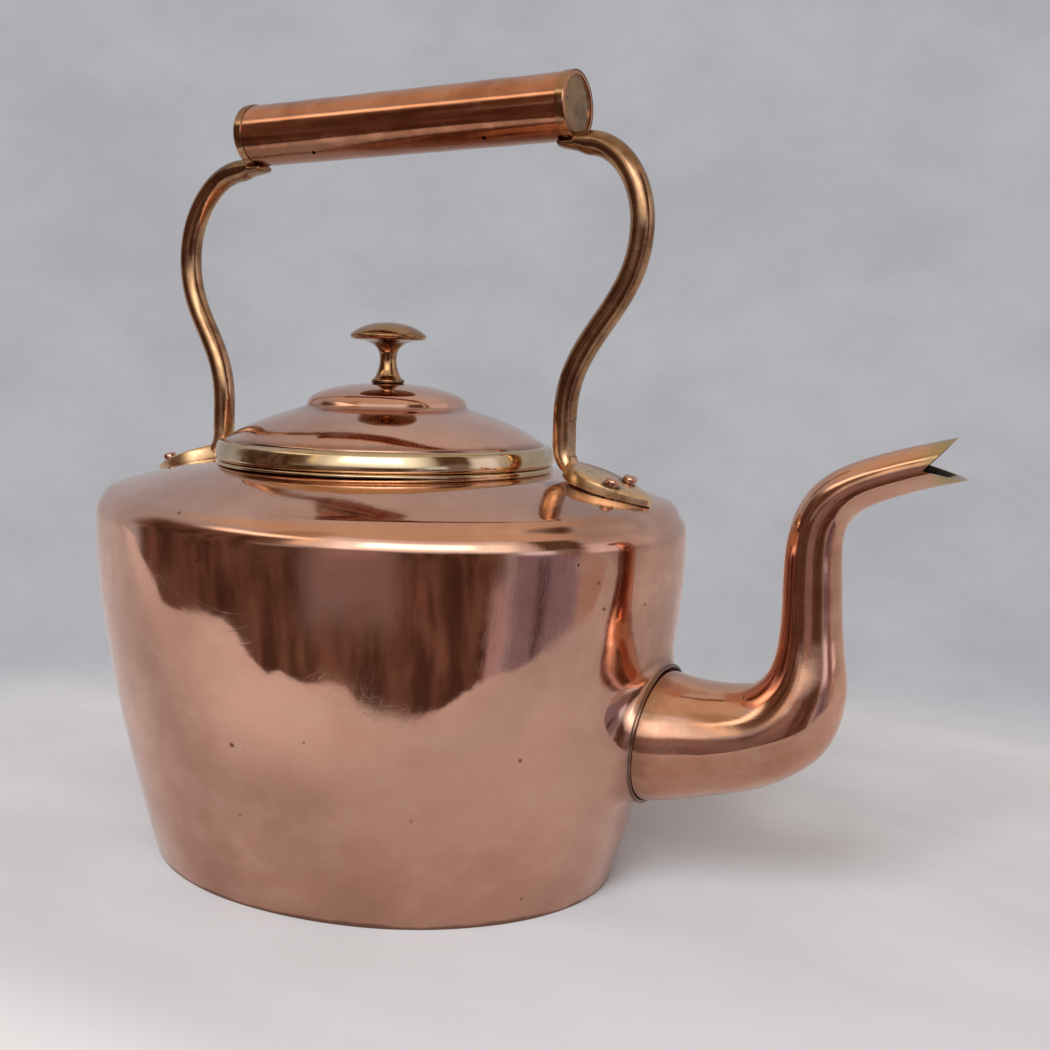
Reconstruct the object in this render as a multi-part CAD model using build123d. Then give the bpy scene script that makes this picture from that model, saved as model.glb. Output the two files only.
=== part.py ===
from build123d import *
from math import cos, hypot, radians, sin, tan
import os

os.makedirs("parts", exist_ok=True)

# A copper range kettle: an oval body with a round mouth, a lift-off lid, a swan-neck spout
# and a fixed handle of two brass arms riveted to the shoulder with a hollow copper grip.
# The origin is the middle of the base on the ground, +Z is up, +X points to the spout,
# and the handle lies in the XZ plane. "Front" is the spout side. All sizes are in mm.

# --- Clearances -------------------------------------------------------------------
joint_gap = 0.05            # between two faces that are soldered or riveted together
lid_gap = 0.35              # radial play of the lid's flange in the mouth
lid_seat_gap = 0.05         # height of the lid's bead above the mouth ring
foot_gap = 0.5              # the flat foot stands this far off the curved shoulder
burr_gap = 0.25             # the flat washers stand this far off the domed inside

# --- Body: sheet copper, oval in plan ---------------------------------------------
sheet = 1.2
base_half_length = 89.5
base_half_width = 72.0
belly_half_length = 112.5
belly_half_width = 90.0
wall_curve = 1.6            # above 1 the wall bulges between base and belly
shoulder_corner = 9.5       # radius of the rounded shoulder edge
shoulder_slope = 15.0       # degrees, where the shoulder leaves that edge
mouth_height = 144.0
shoulder_drop = 20.0        # from the mouth down to where the shoulder's edge starts
belly_band = 6.0            # height of the straight band under that edge
belly_height = mouth_height - shoulder_drop - belly_band    # where the wall is widest
shoulder_start = mouth_height - shoulder_drop
mouth_flat = 58.0           # radius of the flat around the mouth
base_sheet = 1.6
wall_steps = 5              # sections in each part of the body's outline

# --- Mouth ring and lid -----------------------------------------------------------
mouth_ring_radius = 60.4
mouth_ring_lip = 1.0
mouth_ring_wall = 1.0
mouth_ring_bore = 54.95
mouth_ring_depth = 8.0
lid_sheet = 1.1
lid_radius = 57.0           # where the copper dome meets the brass bead
bead_height = 5.2
bead_land = 0.5             # width of the bead's flat top
bead_bulge = 1.9            # how far the bead's face stands out from its chord
dome_rise = 12.75           # from the bead's top to the step
dome_edge_radius = 54.0     # where the dome rolls over into its edge
dome_edge_rise = 4.35
dome_edge_bulge = 0.68
step_radius = 31.5
step_rise = 2.9
boss_radius = 28.5
boss_shoulder_radius = 24.0
boss_shoulder_rise = 3.8
boss_top_rise = 3.1
boss_edge_bulge = 0.53
step_hollow = 0.6
dome_bulge = 0.6
flange_sheet = 1.0
flange_depth = 12.0         # how deep the lid's flange reaches below the bead
lid_washer_radius = 6.0
lid_washer_sheet = 1.0

# --- Knob: cast brass, its tail peened over a washer inside the lid ----------------
knob_rim_radius = 13.4
knob_rim_height = 17.4      # from the lid to the rim
knob_rim_round = 0.7
knob_crown = 4.6            # from the rim to the top of the crown
knob_stem_radius = 3.0
knob_stem_height = 9.0      # where the stem is thinnest
knob_collar_radius = 4.9
knob_bead_foot = 5.6
knob_bead_height = 2.1
knob_bead_bulge = 0.9
boss_flat_radius = 6.2      # the flat on the lid that the knob's bead stands on
knob_tail_radius = 2.5
peen_radius = 4.0
peen_flat_radius = 2.4
peen_height = 1.5
peen_bulge = 0.4

# --- Handle -----------------------------------------------------------------------
rod_radius = 4.1
foot_tilt = 15.0            # degrees, the slope that the feet lie on
foot_thickness = 3.8
foot_length = 33.0          # from the rod's axis to the leaf's tip
foot_half_width = 11.2
foot_widest = 15.0          # from the rod's axis to the widest point
foot_tip_half_width = 1.0
foot_root_margin = 0.3      # the leaf is this much wider than the rod, each side
foot_bevel = 0.9
foot_bend = 5.0             # radius of the bend from the rod into the foot
front_foot = 72.2           # rod axis to the middle of the kettle, at each foot
rear_foot = 76.8
front_bow_reach = 24.0      # from the grip's end out to the arm's widest point
rear_bow_reach = 31.0
front_waist_rise = 30.6     # from the mouth up to the corners of the arm's S-bend,
rear_waist_rise = 31.4      # before they are rounded
front_bow_rise = 72.0
rear_bow_rise = 63.2
waist_bend = 45.0
shoulder_bend = 37.0
front_top_bend = 24.0
rear_top_bend = 30.0
tongue_length = 6.5         # how far the arms reach under the grip
tongue_root = 3.6           # thickness of the tongue under the grip's end
tongue_tip = 2.0            # thickness of the tongue at its own end
tongue_sink = 3.0           # how deep the grip's underside sits in the rod
thinning_run = 12.0         # the rod is thinned from this far outside the grip
thinning_slope = 22.0       # degrees
filed_flat_depth = 0.45     # the flat filed on the outside of each arm
filed_flat_rise = 19.0      # its top, above the mouth

# --- Rivets and the washers under them ----------------------------------------------
rivet_radius = 2.0
rivet_head_radius = 3.3
rivet_head_height = 2.0
rivet_head_taper = 28.0     # degrees
rivet_tail_radius = 2.8
rivet_tail_height = 1.2
rivet_tail_taper = 20.0     # degrees
rivet_spacing = 11.6
rivet_distance = 19.5       # from the rod's axis, along the foot
burr_radius = 4.4
burr_sheet = 1.0

# --- Grip: rolled copper tube with brass bands and discs ----------------------------
grip_radius = 11.05
grip_wall = 1.2
grip_length = 136.0
grip_rise = 120.5           # from the mouth up to the grip's axis
grip_offset = 5.6           # towards the spout
grip_tilt = 1.1             # degrees, spout end up
band_width = 3.2
band_sheet = 0.4
disc_sheet = 1.2
disc_recess = 0.5
vent_radius = 0.65
vent_offsets = (-35.0, 36.0)
vent_turn = 35.0            # degrees, from straight down towards -Y

# --- Spout --------------------------------------------------------------------------
spout_sheet = 1.1
spout_seam_reach = 0.1      # the upright seam, out from the widest part of the body
spout_root_height = 60.2
spout_root_slope = 9.0      # degrees above the horizontal
spout_rise_reach = 47.6     # from the seam out to the upright part's axis
spout_corner_rise = 1.0     # the upper corner, above the mouth
spout_tip_slope = 16.5
spout_tip_run = 43.0        # from the upper corner to the end
lower_bend = 24.0
upper_bend = 20.0
root_radius = 22.4
elbow_radius = 17.2         # where the lower bend begins
upright_radius = 11.0       # where the lower bend ends
neck_radius = 8.5           # where the upper bend begins
neck_end_radius = 7.2       # where the upper bend ends
tip_radius = 6.6
stub_fillet = 3.0
beak_depth = 10.5           # depth of the V cut into the spout's end
beak_drop = 1.4             # how far the bottom of the V lies below the spout's axis
beak_upper_slope = 52.0     # degrees, upper side of the V above the horizontal
beak_lower_slope = 2.0      # degrees, lower side of the V below the horizontal

# --- Worked-out places ----------------------------------------------------------------
corner_sweep = 90.0 - shoulder_slope
corner_end = shoulder_start + shoulder_corner * sin(radians(corner_sweep))
front_bow = grip_offset + grip_length / 2 + front_bow_reach
rear_bow = grip_length / 2 - grip_offset + rear_bow_reach
filed_flat_high = mouth_height + filed_flat_rise
grip_height = mouth_height + grip_rise
spout_root = belly_half_length + spout_seam_reach
spout_rise = spout_root + spout_rise_reach
spout_corner_height = mouth_height + spout_corner_rise
seat_height = mouth_height + mouth_ring_lip
bead_bottom = seat_height + lid_seat_gap
bead_top = bead_bottom + bead_height
step_height = bead_top + dome_rise
boss_height = step_height + step_rise
boss_shoulder_height = boss_height + boss_shoulder_rise
lid_top = boss_shoulder_height + boss_top_rise
drill_length = 12.0         # long enough to pass through a foot and the shoulder
cut_margin = 5.0            # how far a cutting shape runs on past what it cuts


def oval(half_length, half_width, height):
    """A flat oval face at a height, its outline starting at the tail, clear of the spout."""
    return Plane.XY.offset(height) * Ellipse(half_length, half_width, rotation=180)


def wall_oval(height, inset):
    """The wall's section below the belly."""
    fall = (1 - height / belly_height) ** wall_curve
    half_length = belly_half_length - (belly_half_length - base_half_length) * fall
    half_width = belly_half_width - (belly_half_width - base_half_width) * fall
    return oval(half_length - inset, half_width - inset, height)


def corner_oval(sweep, inset):
    """The section at an angle around the rounded shoulder edge."""
    radius = shoulder_corner - inset
    drop_in = shoulder_corner - radius * cos(radians(sweep))
    height = shoulder_start + radius * sin(radians(sweep))
    return oval(belly_half_length - drop_in, belly_half_width - drop_in, height)


def shoulder_shape(share):
    """Half length, half width and height of the shoulder, from its edge (0) to the mouth (1)."""
    edge_in = shoulder_corner * (1 - cos(radians(corner_sweep)))
    edge_length = belly_half_length - edge_in
    edge_width = belly_half_width - edge_in
    half_length = edge_length + (mouth_flat - edge_length) * share
    half_width = edge_width + (mouth_flat - edge_width) * share
    rise = mouth_height - corner_end
    start_rate = tan(radians(shoulder_slope)) * (edge_length - mouth_flat) / rise
    height = corner_end + rise * (start_rate * share - (start_rate - 1) * share ** 2)
    return half_length, half_width, height


def shoulder_oval(share, inset):
    """The shoulder's section, from its edge (0) to the mouth (1)."""
    half_length, half_width, height = shoulder_shape(share)
    return oval(half_length, half_width, height - inset)


def body_form(inset):
    """The body as a solid, its outside for no inset and its inside for one sheet."""
    shares = [step / wall_steps for step in range(wall_steps + 1)]
    wall = [wall_oval(belly_height * share, inset) for share in shares]
    corner = [corner_oval(corner_sweep * share, inset) for share in shares]
    shoulder = [shoulder_oval(share, inset) for share in shares[1:]]
    return loft(wall) + loft(wall[-1:] + corner + shoulder, ruled=True)


def shoulder_height_at(distance):
    """Height of the shoulder's ridge above a distance from the axis, along the length."""
    edge_length = shoulder_shape(0)[0]
    share = (edge_length - distance) / (edge_length - mouth_flat)
    return shoulder_shape(share)[2]


def spout_axis():
    """The spout's centre line: two bends between three straight runs."""
    rise_x = spout_rise
    low_corner = spout_root_height + (rise_x - spout_root) * tan(radians(spout_root_slope))
    tip_x = rise_x + spout_tip_run * cos(radians(spout_tip_slope))
    tip_z = spout_corner_height + spout_tip_run * sin(radians(spout_tip_slope))
    return FilletPolyline(
        (spout_root, 0, spout_root_height),
        (rise_x, 0, low_corner),
        (rise_x, 0, spout_corner_height),
        (tip_x, 0, tip_z),
        radius=(lower_bend, upper_bend),
    )


def spout_stations():
    """Distance along the centre line and outer radius, where the taper changes."""
    turn_low = radians(90 - spout_root_slope)
    turn_high = radians(90 - spout_tip_slope)
    low_tangent = lower_bend * tan(turn_low / 2)
    high_tangent = upper_bend * tan(turn_high / 2)
    low_corner = spout_root_height + (spout_rise - spout_root) * tan(radians(spout_root_slope))
    first_run = (spout_rise - spout_root) / cos(radians(spout_root_slope)) - low_tangent
    low_arc = lower_bend * turn_low
    upright = spout_corner_height - low_corner - low_tangent - high_tangent
    high_arc = upper_bend * turn_high
    last_run = spout_tip_run - high_tangent
    ends = [0.0]
    for length in (first_run, low_arc, upright, high_arc, last_run):
        ends.append(ends[-1] + length)
    radii = [root_radius, elbow_radius, upright_radius, neck_radius, neck_end_radius, tip_radius]
    return ends, radii


def radius_along(distance, ends, radii):
    """Outer radius at a distance along the spout, eased between the stations."""
    for start, end, first, last in zip(ends, ends[1:], radii, radii[1:]):
        if distance <= end:
            share = (distance - start) / (end - start)
            return first + (last - first) * share
    return radii[-1]


def spout_form(inset, overrun):
    """The spout as a solid, run on past both ends by an overrun."""
    axis = spout_axis()
    ends, radii = spout_stations()
    length = ends[-1]
    cuts = 22
    sections = []
    for step in range(cuts + 1):
        distance = length * step / cuts
        origin = axis.position_at(distance, PositionMode.LENGTH)
        direction = axis.tangent_at(distance, PositionMode.LENGTH)
        if step == 0:
            direction = Vector(1, 0, 0)
            origin = origin - direction * overrun
        if step == cuts:
            origin = origin + direction * overrun
        place = Plane(origin=origin, x_dir=(0, 1, 0), z_dir=direction)
        sections.append(place * Circle(radius_along(distance, ends, radii) - inset))
    return loft(sections)


def root_plane():
    """The upright plane of the seam between the spout and the body."""
    return Plane(origin=(spout_root, 0, spout_root_height), x_dir=(0, 1, 0), z_dir=(1, 0, 0))


def side_prism(points, half_width):
    """An XZ outline, extruded to both sides of the handle's plane."""
    outline = Plane.XZ * make_face(Polyline(*points, close=True))
    return extrude(outline, amount=half_width, both=True)


def make_body_shell():
    """Wall and shoulder raised from one sheet, with a stub drawn out for the spout."""
    outside = body_form(0)
    stub_reach = 30.0
    turned_down = Rot(0, 0, -90)      # the circle's own seam goes to the bottom
    stub = extrude(root_plane() * turned_down * Circle(root_radius), amount=-stub_reach)
    skin = outside + stub
    seam_edges = new_edges(outside, stub, combined=skin)
    skin = fillet(seam_edges, stub_fillet)
    bore = extrude(root_plane() * Circle(root_radius - sheet), amount=-stub_reach)
    shell = skin - body_form(sheet) - bore
    floor_opening = wall_oval(0, sheet)
    shell -= extrude(floor_opening, amount=base_sheet)
    mouth_hole_radius = mouth_ring_bore + mouth_ring_wall + joint_gap
    shell -= Pos(0, 0, mouth_height) * Cylinder(mouth_hole_radius, 4 * sheet)
    for side, foot in ((1, front_foot), (-1, rear_foot)):
        for place in rivet_places(side, foot):
            shell -= place * Cylinder(rivet_radius + joint_gap, drill_length)
    return shell


def make_base_plate():
    """The flat bottom, set in the foot of the wall."""
    return extrude(wall_oval(0, sheet + joint_gap), amount=base_sheet)


def turned(points):
    """A solid of revolution about the kettle's axis from a closed line of (radius, height)."""
    return revolve(Plane.XZ * make_face(points), axis=Axis.Z)


def make_mouth_ring():
    """Brass ring in the mouth: a flat lip for the lid's bead and a collar for its flange."""
    collar_radius = mouth_ring_bore + mouth_ring_wall
    collar_bottom = mouth_height - mouth_ring_depth
    outline = Polyline(
        (mouth_ring_bore, collar_bottom),
        (collar_radius, collar_bottom),
        (collar_radius, mouth_height),
        (mouth_ring_radius, mouth_height),
        (mouth_ring_radius, seat_height),
        (mouth_ring_bore, seat_height),
        close=True,
    )
    return turned(outline)


def bulged(start, end, bulge):
    """An arc between two (radius, height) points, standing out from its chord by a bulge."""
    across = end[0] - start[0]
    up = end[1] - start[1]
    chord = hypot(across, up)
    middle_radius = (start[0] + end[0] - 2 * bulge * up / chord) / 2
    middle_height = (start[1] + end[1] + 2 * bulge * across / chord) / 2
    return ThreePointArc(start, (middle_radius, middle_height), end)


def lid_line():
    """The lid's outside from the knob's hole to the foot of its skirt, as (radius, height)."""
    crown = (boss_flat_radius, lid_top)
    shoulder = (boss_shoulder_radius, boss_shoulder_height)
    boss_foot = (boss_radius, boss_height)
    step = (step_radius, step_height)
    roll = (dome_edge_radius, bead_top + dome_edge_rise)
    edge = (lid_radius, bead_top)
    line = Line((knob_tail_radius + joint_gap, lid_top), crown)
    line += TangentArc(crown, shoulder, tangent=(1, 0))
    line += bulged(shoulder, boss_foot, boss_edge_bulge)
    line += bulged(boss_foot, step, -step_hollow)
    line += bulged(step, roll, dome_bulge)
    line += bulged(roll, edge, dome_edge_bulge)
    line += Line(edge, (lid_radius, bead_bottom))
    return line


def make_lid_dome():
    """The spun copper lid with its raised boss and a short skirt inside the bead."""
    sheet_face = offset(lid_line(), lid_sheet, side=Side.RIGHT, closed=True)
    return revolve(Plane.XZ * make_face(sheet_face), axis=Axis.Z)


def make_lid_rim():
    """The brass bead around the lid's edge, with a rounded face."""
    inner = lid_radius + joint_gap
    outer = mouth_ring_radius - mouth_ring_lip
    outline = Line((inner, bead_bottom), (inner, bead_top))
    outline += Line((inner, bead_top), (inner + bead_land, bead_top))
    outline += bulged((inner + bead_land, bead_top), (outer, bead_bottom), bead_bulge)
    outline += Line((outer, bead_bottom), (inner, bead_bottom))
    return turned(outline)


def make_lid_flange():
    """The collar under the lid that drops into the mouth ring."""
    outer = mouth_ring_bore - lid_gap
    inner = outer - flange_sheet
    top_lip = lid_radius - lid_sheet - joint_gap
    shelf = bead_bottom + flange_sheet
    bottom = bead_bottom - flange_depth
    outline = Polyline(
        (inner, bottom),
        (outer, bottom),
        (outer, bead_bottom),
        (top_lip, bead_bottom),
        (top_lip, shelf),
        (inner, shelf),
        close=True,
    )
    return turned(outline)


def make_lid_knob():
    """The knob: bead foot, waisted stem and crowned cap, with a peened tail."""
    foot = lid_top + joint_gap
    collar = (knob_collar_radius, foot + knob_bead_height)
    stem = (knob_stem_radius, foot + knob_stem_height)
    rim = foot + knob_rim_height
    under_rim = (knob_rim_radius - knob_rim_round, rim - knob_rim_round)
    over_rim = (knob_rim_radius - knob_rim_round, rim + knob_rim_round)
    crown = (0, rim + knob_crown)
    under_lid = lid_top - lid_sheet - lid_washer_sheet - 2 * joint_gap
    peen_end = under_lid - peen_height
    outline = Line(crown, (0, peen_end))
    outline += Line((0, peen_end), (peen_flat_radius, peen_end))
    outline += bulged((peen_flat_radius, peen_end), (peen_radius, under_lid), -peen_bulge)
    outline += Line((peen_radius, under_lid), (knob_tail_radius, under_lid))
    outline += Line((knob_tail_radius, under_lid), (knob_tail_radius, foot))
    outline += Line((knob_tail_radius, foot), (knob_bead_foot, foot))
    outline += bulged((knob_bead_foot, foot), collar, -knob_bead_bulge)
    outline += TangentArc(stem, collar, tangent=(0, -1))
    outline += TangentArc(stem, under_rim, tangent=(0, 1))
    outline += ThreePointArc(under_rim, (knob_rim_radius, rim), over_rim)
    outline += TangentArc(crown, over_rim, tangent=(1, 0))
    return turned(outline)


def make_knob_washer():
    """The washer under the lid that the knob's tail is peened over."""
    top = lid_top - lid_sheet - joint_gap
    ring = Cylinder(lid_washer_radius, lid_washer_sheet)
    ring -= Cylinder(knob_tail_radius + joint_gap, 3 * lid_washer_sheet)
    return Pos(0, 0, top - lid_washer_sheet / 2) * ring


def foot_plane(side, foot):
    """The foot's underside: origin under the rod's axis, X down the slope, Z off the shoulder."""
    slope = radians(foot_tilt)
    middle = foot + foot_length / 2
    lift = foot_gap / cos(slope)
    height = shoulder_height_at(middle) + lift + foot_length / 2 * tan(slope)
    return Plane(
        origin=(side * foot, 0, height),
        x_dir=(side * cos(slope), 0, -sin(slope)),
        z_dir=(side * sin(slope), 0, cos(slope)),
    )


def rivet_places(side, foot):
    """Where the two rivets of a foot stand, on its underside."""
    plane = foot_plane(side, foot)
    spots = []
    for across in (-rivet_spacing / 2, rivet_spacing / 2):
        spots.append(plane.location * Pos(rivet_distance, across, 0))
    return spots


def leaf(side, foot):
    """The leaf-shaped plate of a foot, with a bevelled top edge and its rivet holes."""
    widest = {1: (foot_widest, foot_half_width), -1: (foot_widest, -foot_half_width)}
    root_half = rod_radius + foot_root_margin
    outline = Line((0, -root_half), (0, root_half))
    outline += Line((foot_length, foot_tip_half_width), (foot_length, -foot_tip_half_width))
    for edge in (1, -1):
        root = (rod_radius, edge * root_half)
        outline += Line((0, edge * root_half), root)
        outline += TangentArc(widest[edge], root, tangent=(-1, 0))
        tip = (foot_length, edge * foot_tip_half_width)
        outline += TangentArc(widest[edge], tip, tangent=(1, 0))
    plate = extrude(make_face(outline), amount=foot_thickness)
    top_edges = plate.edges().group_by(Axis.Z)[-1]
    leaf_edges = top_edges.filter_by(lambda edge: edge.center().X > rod_radius)
    plate = chamfer(leaf_edges, foot_bevel)
    plate = foot_plane(side, foot).location * plate
    for place in rivet_places(side, foot):
        plate -= place * Cylinder(rivet_radius + joint_gap, drill_length)
    return plate


def grip_axis_plane():
    """The grip's frame: origin at its middle, Z along its axis towards the spout."""
    tilt = radians(grip_tilt)
    return Plane(
        origin=(grip_offset, 0, grip_height),
        x_dir=(0, 1, 0),
        z_dir=(cos(tilt), 0, sin(tilt)),
    )


def grip_rod(radius, start, length):
    """A round bar on the grip's axis, from a distance along it."""
    return extrude(grip_axis_plane().offset(start) * Circle(radius), amount=length)


def make_arm(side, foot, bow, waist_rise, bow_rise, top_bend):
    """One arm: leaf foot, S-bent rod and a tongue thinned to lie under the grip."""
    tilt = radians(grip_tilt)
    base = foot_plane(side, foot)
    grip_end = grip_offset + side * grip_length / 2 * cos(tilt)
    under_grip = grip_height + side * grip_length / 2 * sin(tilt) - grip_radius
    top = under_grip - rod_radius + tongue_sink
    tongue_end = grip_end - side * tongue_length
    heel = base.origin + base.z_dir * rod_radius
    heel_height = heel.Z + (heel.X - side * foot) * side * tan(radians(foot_tilt))
    toe = heel + base.x_dir * (foot_widest - rod_radius)
    path = FilletPolyline(
        (toe.X, 0, toe.Z),
        (side * foot, 0, heel_height),
        (side * foot, 0, mouth_height + waist_rise),
        (side * bow, 0, mouth_height + bow_rise),
        (side * bow, 0, top),
        (tongue_end, 0, top),
        radius=(foot_bend, waist_bend, shoulder_bend, top_bend),
    )
    start = Plane(origin=path @ 0, z_dir=path % 0)
    rod = sweep(start * Circle(rod_radius), path=path)
    flat_face = side * (foot + rod_radius - filed_flat_depth)
    far = side * (foot + 2 * foot_length)
    deck = base.origin + base.z_dir * foot_thickness
    slope = tan(radians(foot_tilt))
    above_deck = [
        (flat_face, deck.Z - (flat_face - deck.X) * side * slope),
        (far, deck.Z - (far - deck.X) * side * slope),
        (far, filed_flat_high),
        (flat_face, filed_flat_high),
    ]
    rod -= side_prism(above_deck, 2 * rod_radius)
    thinning = grip_end + side * thinning_run
    past_tongue = tongue_end - side * cut_margin
    drop = thinning_run * tan(radians(thinning_slope))
    low = top - rod_radius - cut_margin
    under_tongue = [
        (thinning, low),
        (thinning, under_grip - tongue_root - drop),
        (grip_end, under_grip - tongue_root),
        (tongue_end, under_grip - tongue_tip),
        (past_tongue, under_grip - tongue_tip),
        (past_tongue, low),
    ]
    rod -= side_prism(under_tongue, 2 * rod_radius)
    rod -= grip_rod(grip_radius + joint_gap, -grip_length / 2, grip_length)
    band_zone = band_width + joint_gap
    band_start = side * grip_length / 2 - band_zone
    rod -= grip_rod(grip_radius + band_sheet + joint_gap, band_start, 2 * band_zone)
    return rod + leaf(side, foot)


def make_rivets(side, foot):
    """Two copper rivets: a flat-topped head outside and a peened tail inside."""
    head_start = foot_thickness + joint_gap
    tail_start = -(foot_gap + sheet + 2 * joint_gap + burr_sheet + burr_gap)
    rivets = []
    for place in rivet_places(side, foot):
        shank = extrude(Circle(rivet_radius), amount=head_start - tail_start)
        head = extrude(
            Circle(rivet_head_radius), amount=rivet_head_height, taper=rivet_head_taper)
        tail = extrude(
            Circle(rivet_tail_radius), amount=-rivet_tail_height, taper=rivet_tail_taper)
        rivet = Pos(0, 0, tail_start) * (shank + tail) + Pos(0, 0, head_start) * head
        rivets.append(place * rivet)
    return Compound(children=rivets)


def make_burrs(side, foot):
    """The washers under the rivets' tails, against the inside of the shoulder."""
    top = -(foot_gap + sheet + joint_gap + burr_gap)
    burrs = []
    for place in rivet_places(side, foot):
        ring = extrude(Circle(burr_radius) - Circle(rivet_radius + joint_gap), amount=-burr_sheet)
        burrs.append(place * (Pos(0, 0, top) * ring))
    return Compound(children=burrs)


def make_grip_tube():
    """The hollow copper grip, with two small vent holes on its underside."""
    tube = grip_rod(grip_radius, -grip_length / 2, grip_length)
    tube -= grip_rod(grip_radius - grip_wall, -grip_length, 2 * grip_length)
    for offset_along in vent_offsets:
        turn = radians(vent_turn)
        hole_plane = grip_axis_plane().offset(offset_along)
        outward = hole_plane.from_local_coords(Vector(-sin(turn), cos(turn), 0)) - hole_plane.origin
        hole = Plane(origin=hole_plane.origin, z_dir=outward)
        tube -= extrude(hole * Circle(vent_radius), amount=2 * grip_radius)
    return tube


def make_grip_band(side):
    """A brass band over one end of the grip."""
    start = side * grip_length / 2 - (band_width if side > 0 else 0)
    band = grip_rod(grip_radius + band_sheet, start, band_width)
    return band - grip_rod(grip_radius + joint_gap, start - band_width, 3 * band_width)


def make_grip_disc(side):
    """A brass disc that closes one end of the grip, just inside its rim."""
    face = side * (grip_length / 2 - disc_recess)
    start = face - (disc_sheet if side > 0 else 0)
    return grip_rod(grip_radius - grip_wall - joint_gap, start, disc_sheet)


def make_spout():
    """The swan neck: a tapering tube with a V cut into its end."""
    neck = spout_form(0, 0) - spout_form(spout_sheet, spout_sheet)
    slope = radians(spout_tip_slope)
    tip_x = spout_rise + spout_tip_run * cos(slope)
    tip_z = spout_corner_height + spout_tip_run * sin(slope)
    vee_x = tip_x - beak_depth * cos(slope) + beak_drop * sin(slope)
    vee_z = tip_z - beak_depth * sin(slope) - beak_drop * cos(slope)
    reach = 3 * beak_depth
    upper = radians(beak_upper_slope)
    lower = radians(beak_lower_slope)
    vee = [
        (vee_x, vee_z),
        (vee_x + reach * cos(upper), vee_z + reach * sin(upper)),
        (vee_x + reach * cos(lower), vee_z - reach * sin(lower)),
    ]
    return neck - side_prism(vee, 3 * tip_radius)


front_arm = (1, front_foot, front_bow, front_waist_rise, front_bow_rise, front_top_bend)
rear_arm = (-1, rear_foot, rear_bow, rear_waist_rise, rear_bow_rise, rear_top_bend)
nodes = {
    "body_shell": make_body_shell(),
    "base_plate": make_base_plate(),
    "mouth_ring": make_mouth_ring(),
    "lid_dome": make_lid_dome(),
    "lid_rim": make_lid_rim(),
    "lid_flange": make_lid_flange(),
    "lid_knob": make_lid_knob(),
    "knob_washer": make_knob_washer(),
    "handle_arm_front": make_arm(*front_arm),
    "handle_arm_rear": make_arm(*rear_arm),
    "foot_rivets_front": make_rivets(1, front_foot),
    "foot_rivets_rear": make_rivets(-1, rear_foot),
    "rivet_burrs_front": make_burrs(1, front_foot),
    "rivet_burrs_rear": make_burrs(-1, rear_foot),
    "grip_tube": make_grip_tube(),
    "grip_band_front": make_grip_band(1),
    "grip_band_rear": make_grip_band(-1),
    "grip_disc_front": make_grip_disc(1),
    "grip_disc_rear": make_grip_disc(-1),
    "spout": make_spout(),
}
for name, shape in nodes.items():
    export_step(shape, "parts/" + name + ".step")
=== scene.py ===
# %% [markdown]
# # A copper range kettle
# An oval sheet-copper body with a round mouth, a spun lid with a brass bead, a swan-neck
# spout and a fixed handle: two brass arms riveted to the shoulder and a hollow copper grip.
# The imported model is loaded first. It says where everything is and what moves with what,
# so each piece below is made straight in its place, in metres.

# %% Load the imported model
import bmesh
import bpy
import math
from math import cos, radians, sin, sqrt, tan
from mathutils import Matrix, Vector, noise
from mathutils.geometry import interpolate_bezier


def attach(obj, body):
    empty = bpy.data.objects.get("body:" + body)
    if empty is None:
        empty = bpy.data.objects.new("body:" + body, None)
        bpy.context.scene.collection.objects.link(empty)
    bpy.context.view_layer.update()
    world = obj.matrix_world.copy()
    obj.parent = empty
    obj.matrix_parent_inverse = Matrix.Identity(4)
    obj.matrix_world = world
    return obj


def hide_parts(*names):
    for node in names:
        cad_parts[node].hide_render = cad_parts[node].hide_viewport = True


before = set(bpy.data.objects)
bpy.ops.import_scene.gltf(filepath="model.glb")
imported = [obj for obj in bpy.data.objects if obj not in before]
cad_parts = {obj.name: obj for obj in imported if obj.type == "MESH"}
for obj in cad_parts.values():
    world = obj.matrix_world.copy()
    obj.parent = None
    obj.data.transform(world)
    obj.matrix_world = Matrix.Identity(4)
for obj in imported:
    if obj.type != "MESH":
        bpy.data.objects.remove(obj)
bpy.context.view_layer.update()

mm = 0.001
scene = bpy.context.scene

# %% [markdown]
# ## Camera
# A long-ish lens, a little above the shoulder, about half a metre away. The picture is
# square, so the sensor is 36 mm both ways. The camera is turned step by step, as on a
# tripod: first round to face the kettle, then a small pan, a tilt down and a slight roll.

# %% Set the camera
facing = 0.598046050
eye = Vector((272.262, -399.638, 181.825)) * mm
ahead = Vector((-sin(facing), cos(facing), 0))
right = Vector((cos(facing), sin(facing), 0))
up = Vector((0, 0, 1))


def turn(first, second, angle):
    """Two axes turned towards each other by an angle."""
    return (
        first * cos(angle) + second * sin(angle),
        second * cos(angle) - first * sin(angle),
    )


ahead, right = turn(ahead, right, 0.105746731)
up, ahead = turn(up, ahead, 0.122639303)
right, up = turn(right, up, 0.0268702487)
lens = bpy.data.cameras.new("camera")
lens.sensor_width = 36
lens.lens = 45.274
lens.clip_start, lens.clip_end = 0.01, 20
camera = bpy.data.objects.new("camera", lens)
axes = Matrix((right, up, -ahead)).transposed().to_4x4()
camera.matrix_world = Matrix.Translation(eye) @ axes
scene.collection.objects.link(camera)
scene.camera = camera
print("camera", round(eye.length, 3), "m from the foot of the kettle")

# %% [markdown]
# ## Node helpers
# Every finish below is a small network of nodes. `plug` puts a number, a colour or another
# node's output into an input, and `part` adds one node and plugs everything that it is
# given, so that a whole finish reads like a recipe.


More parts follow.
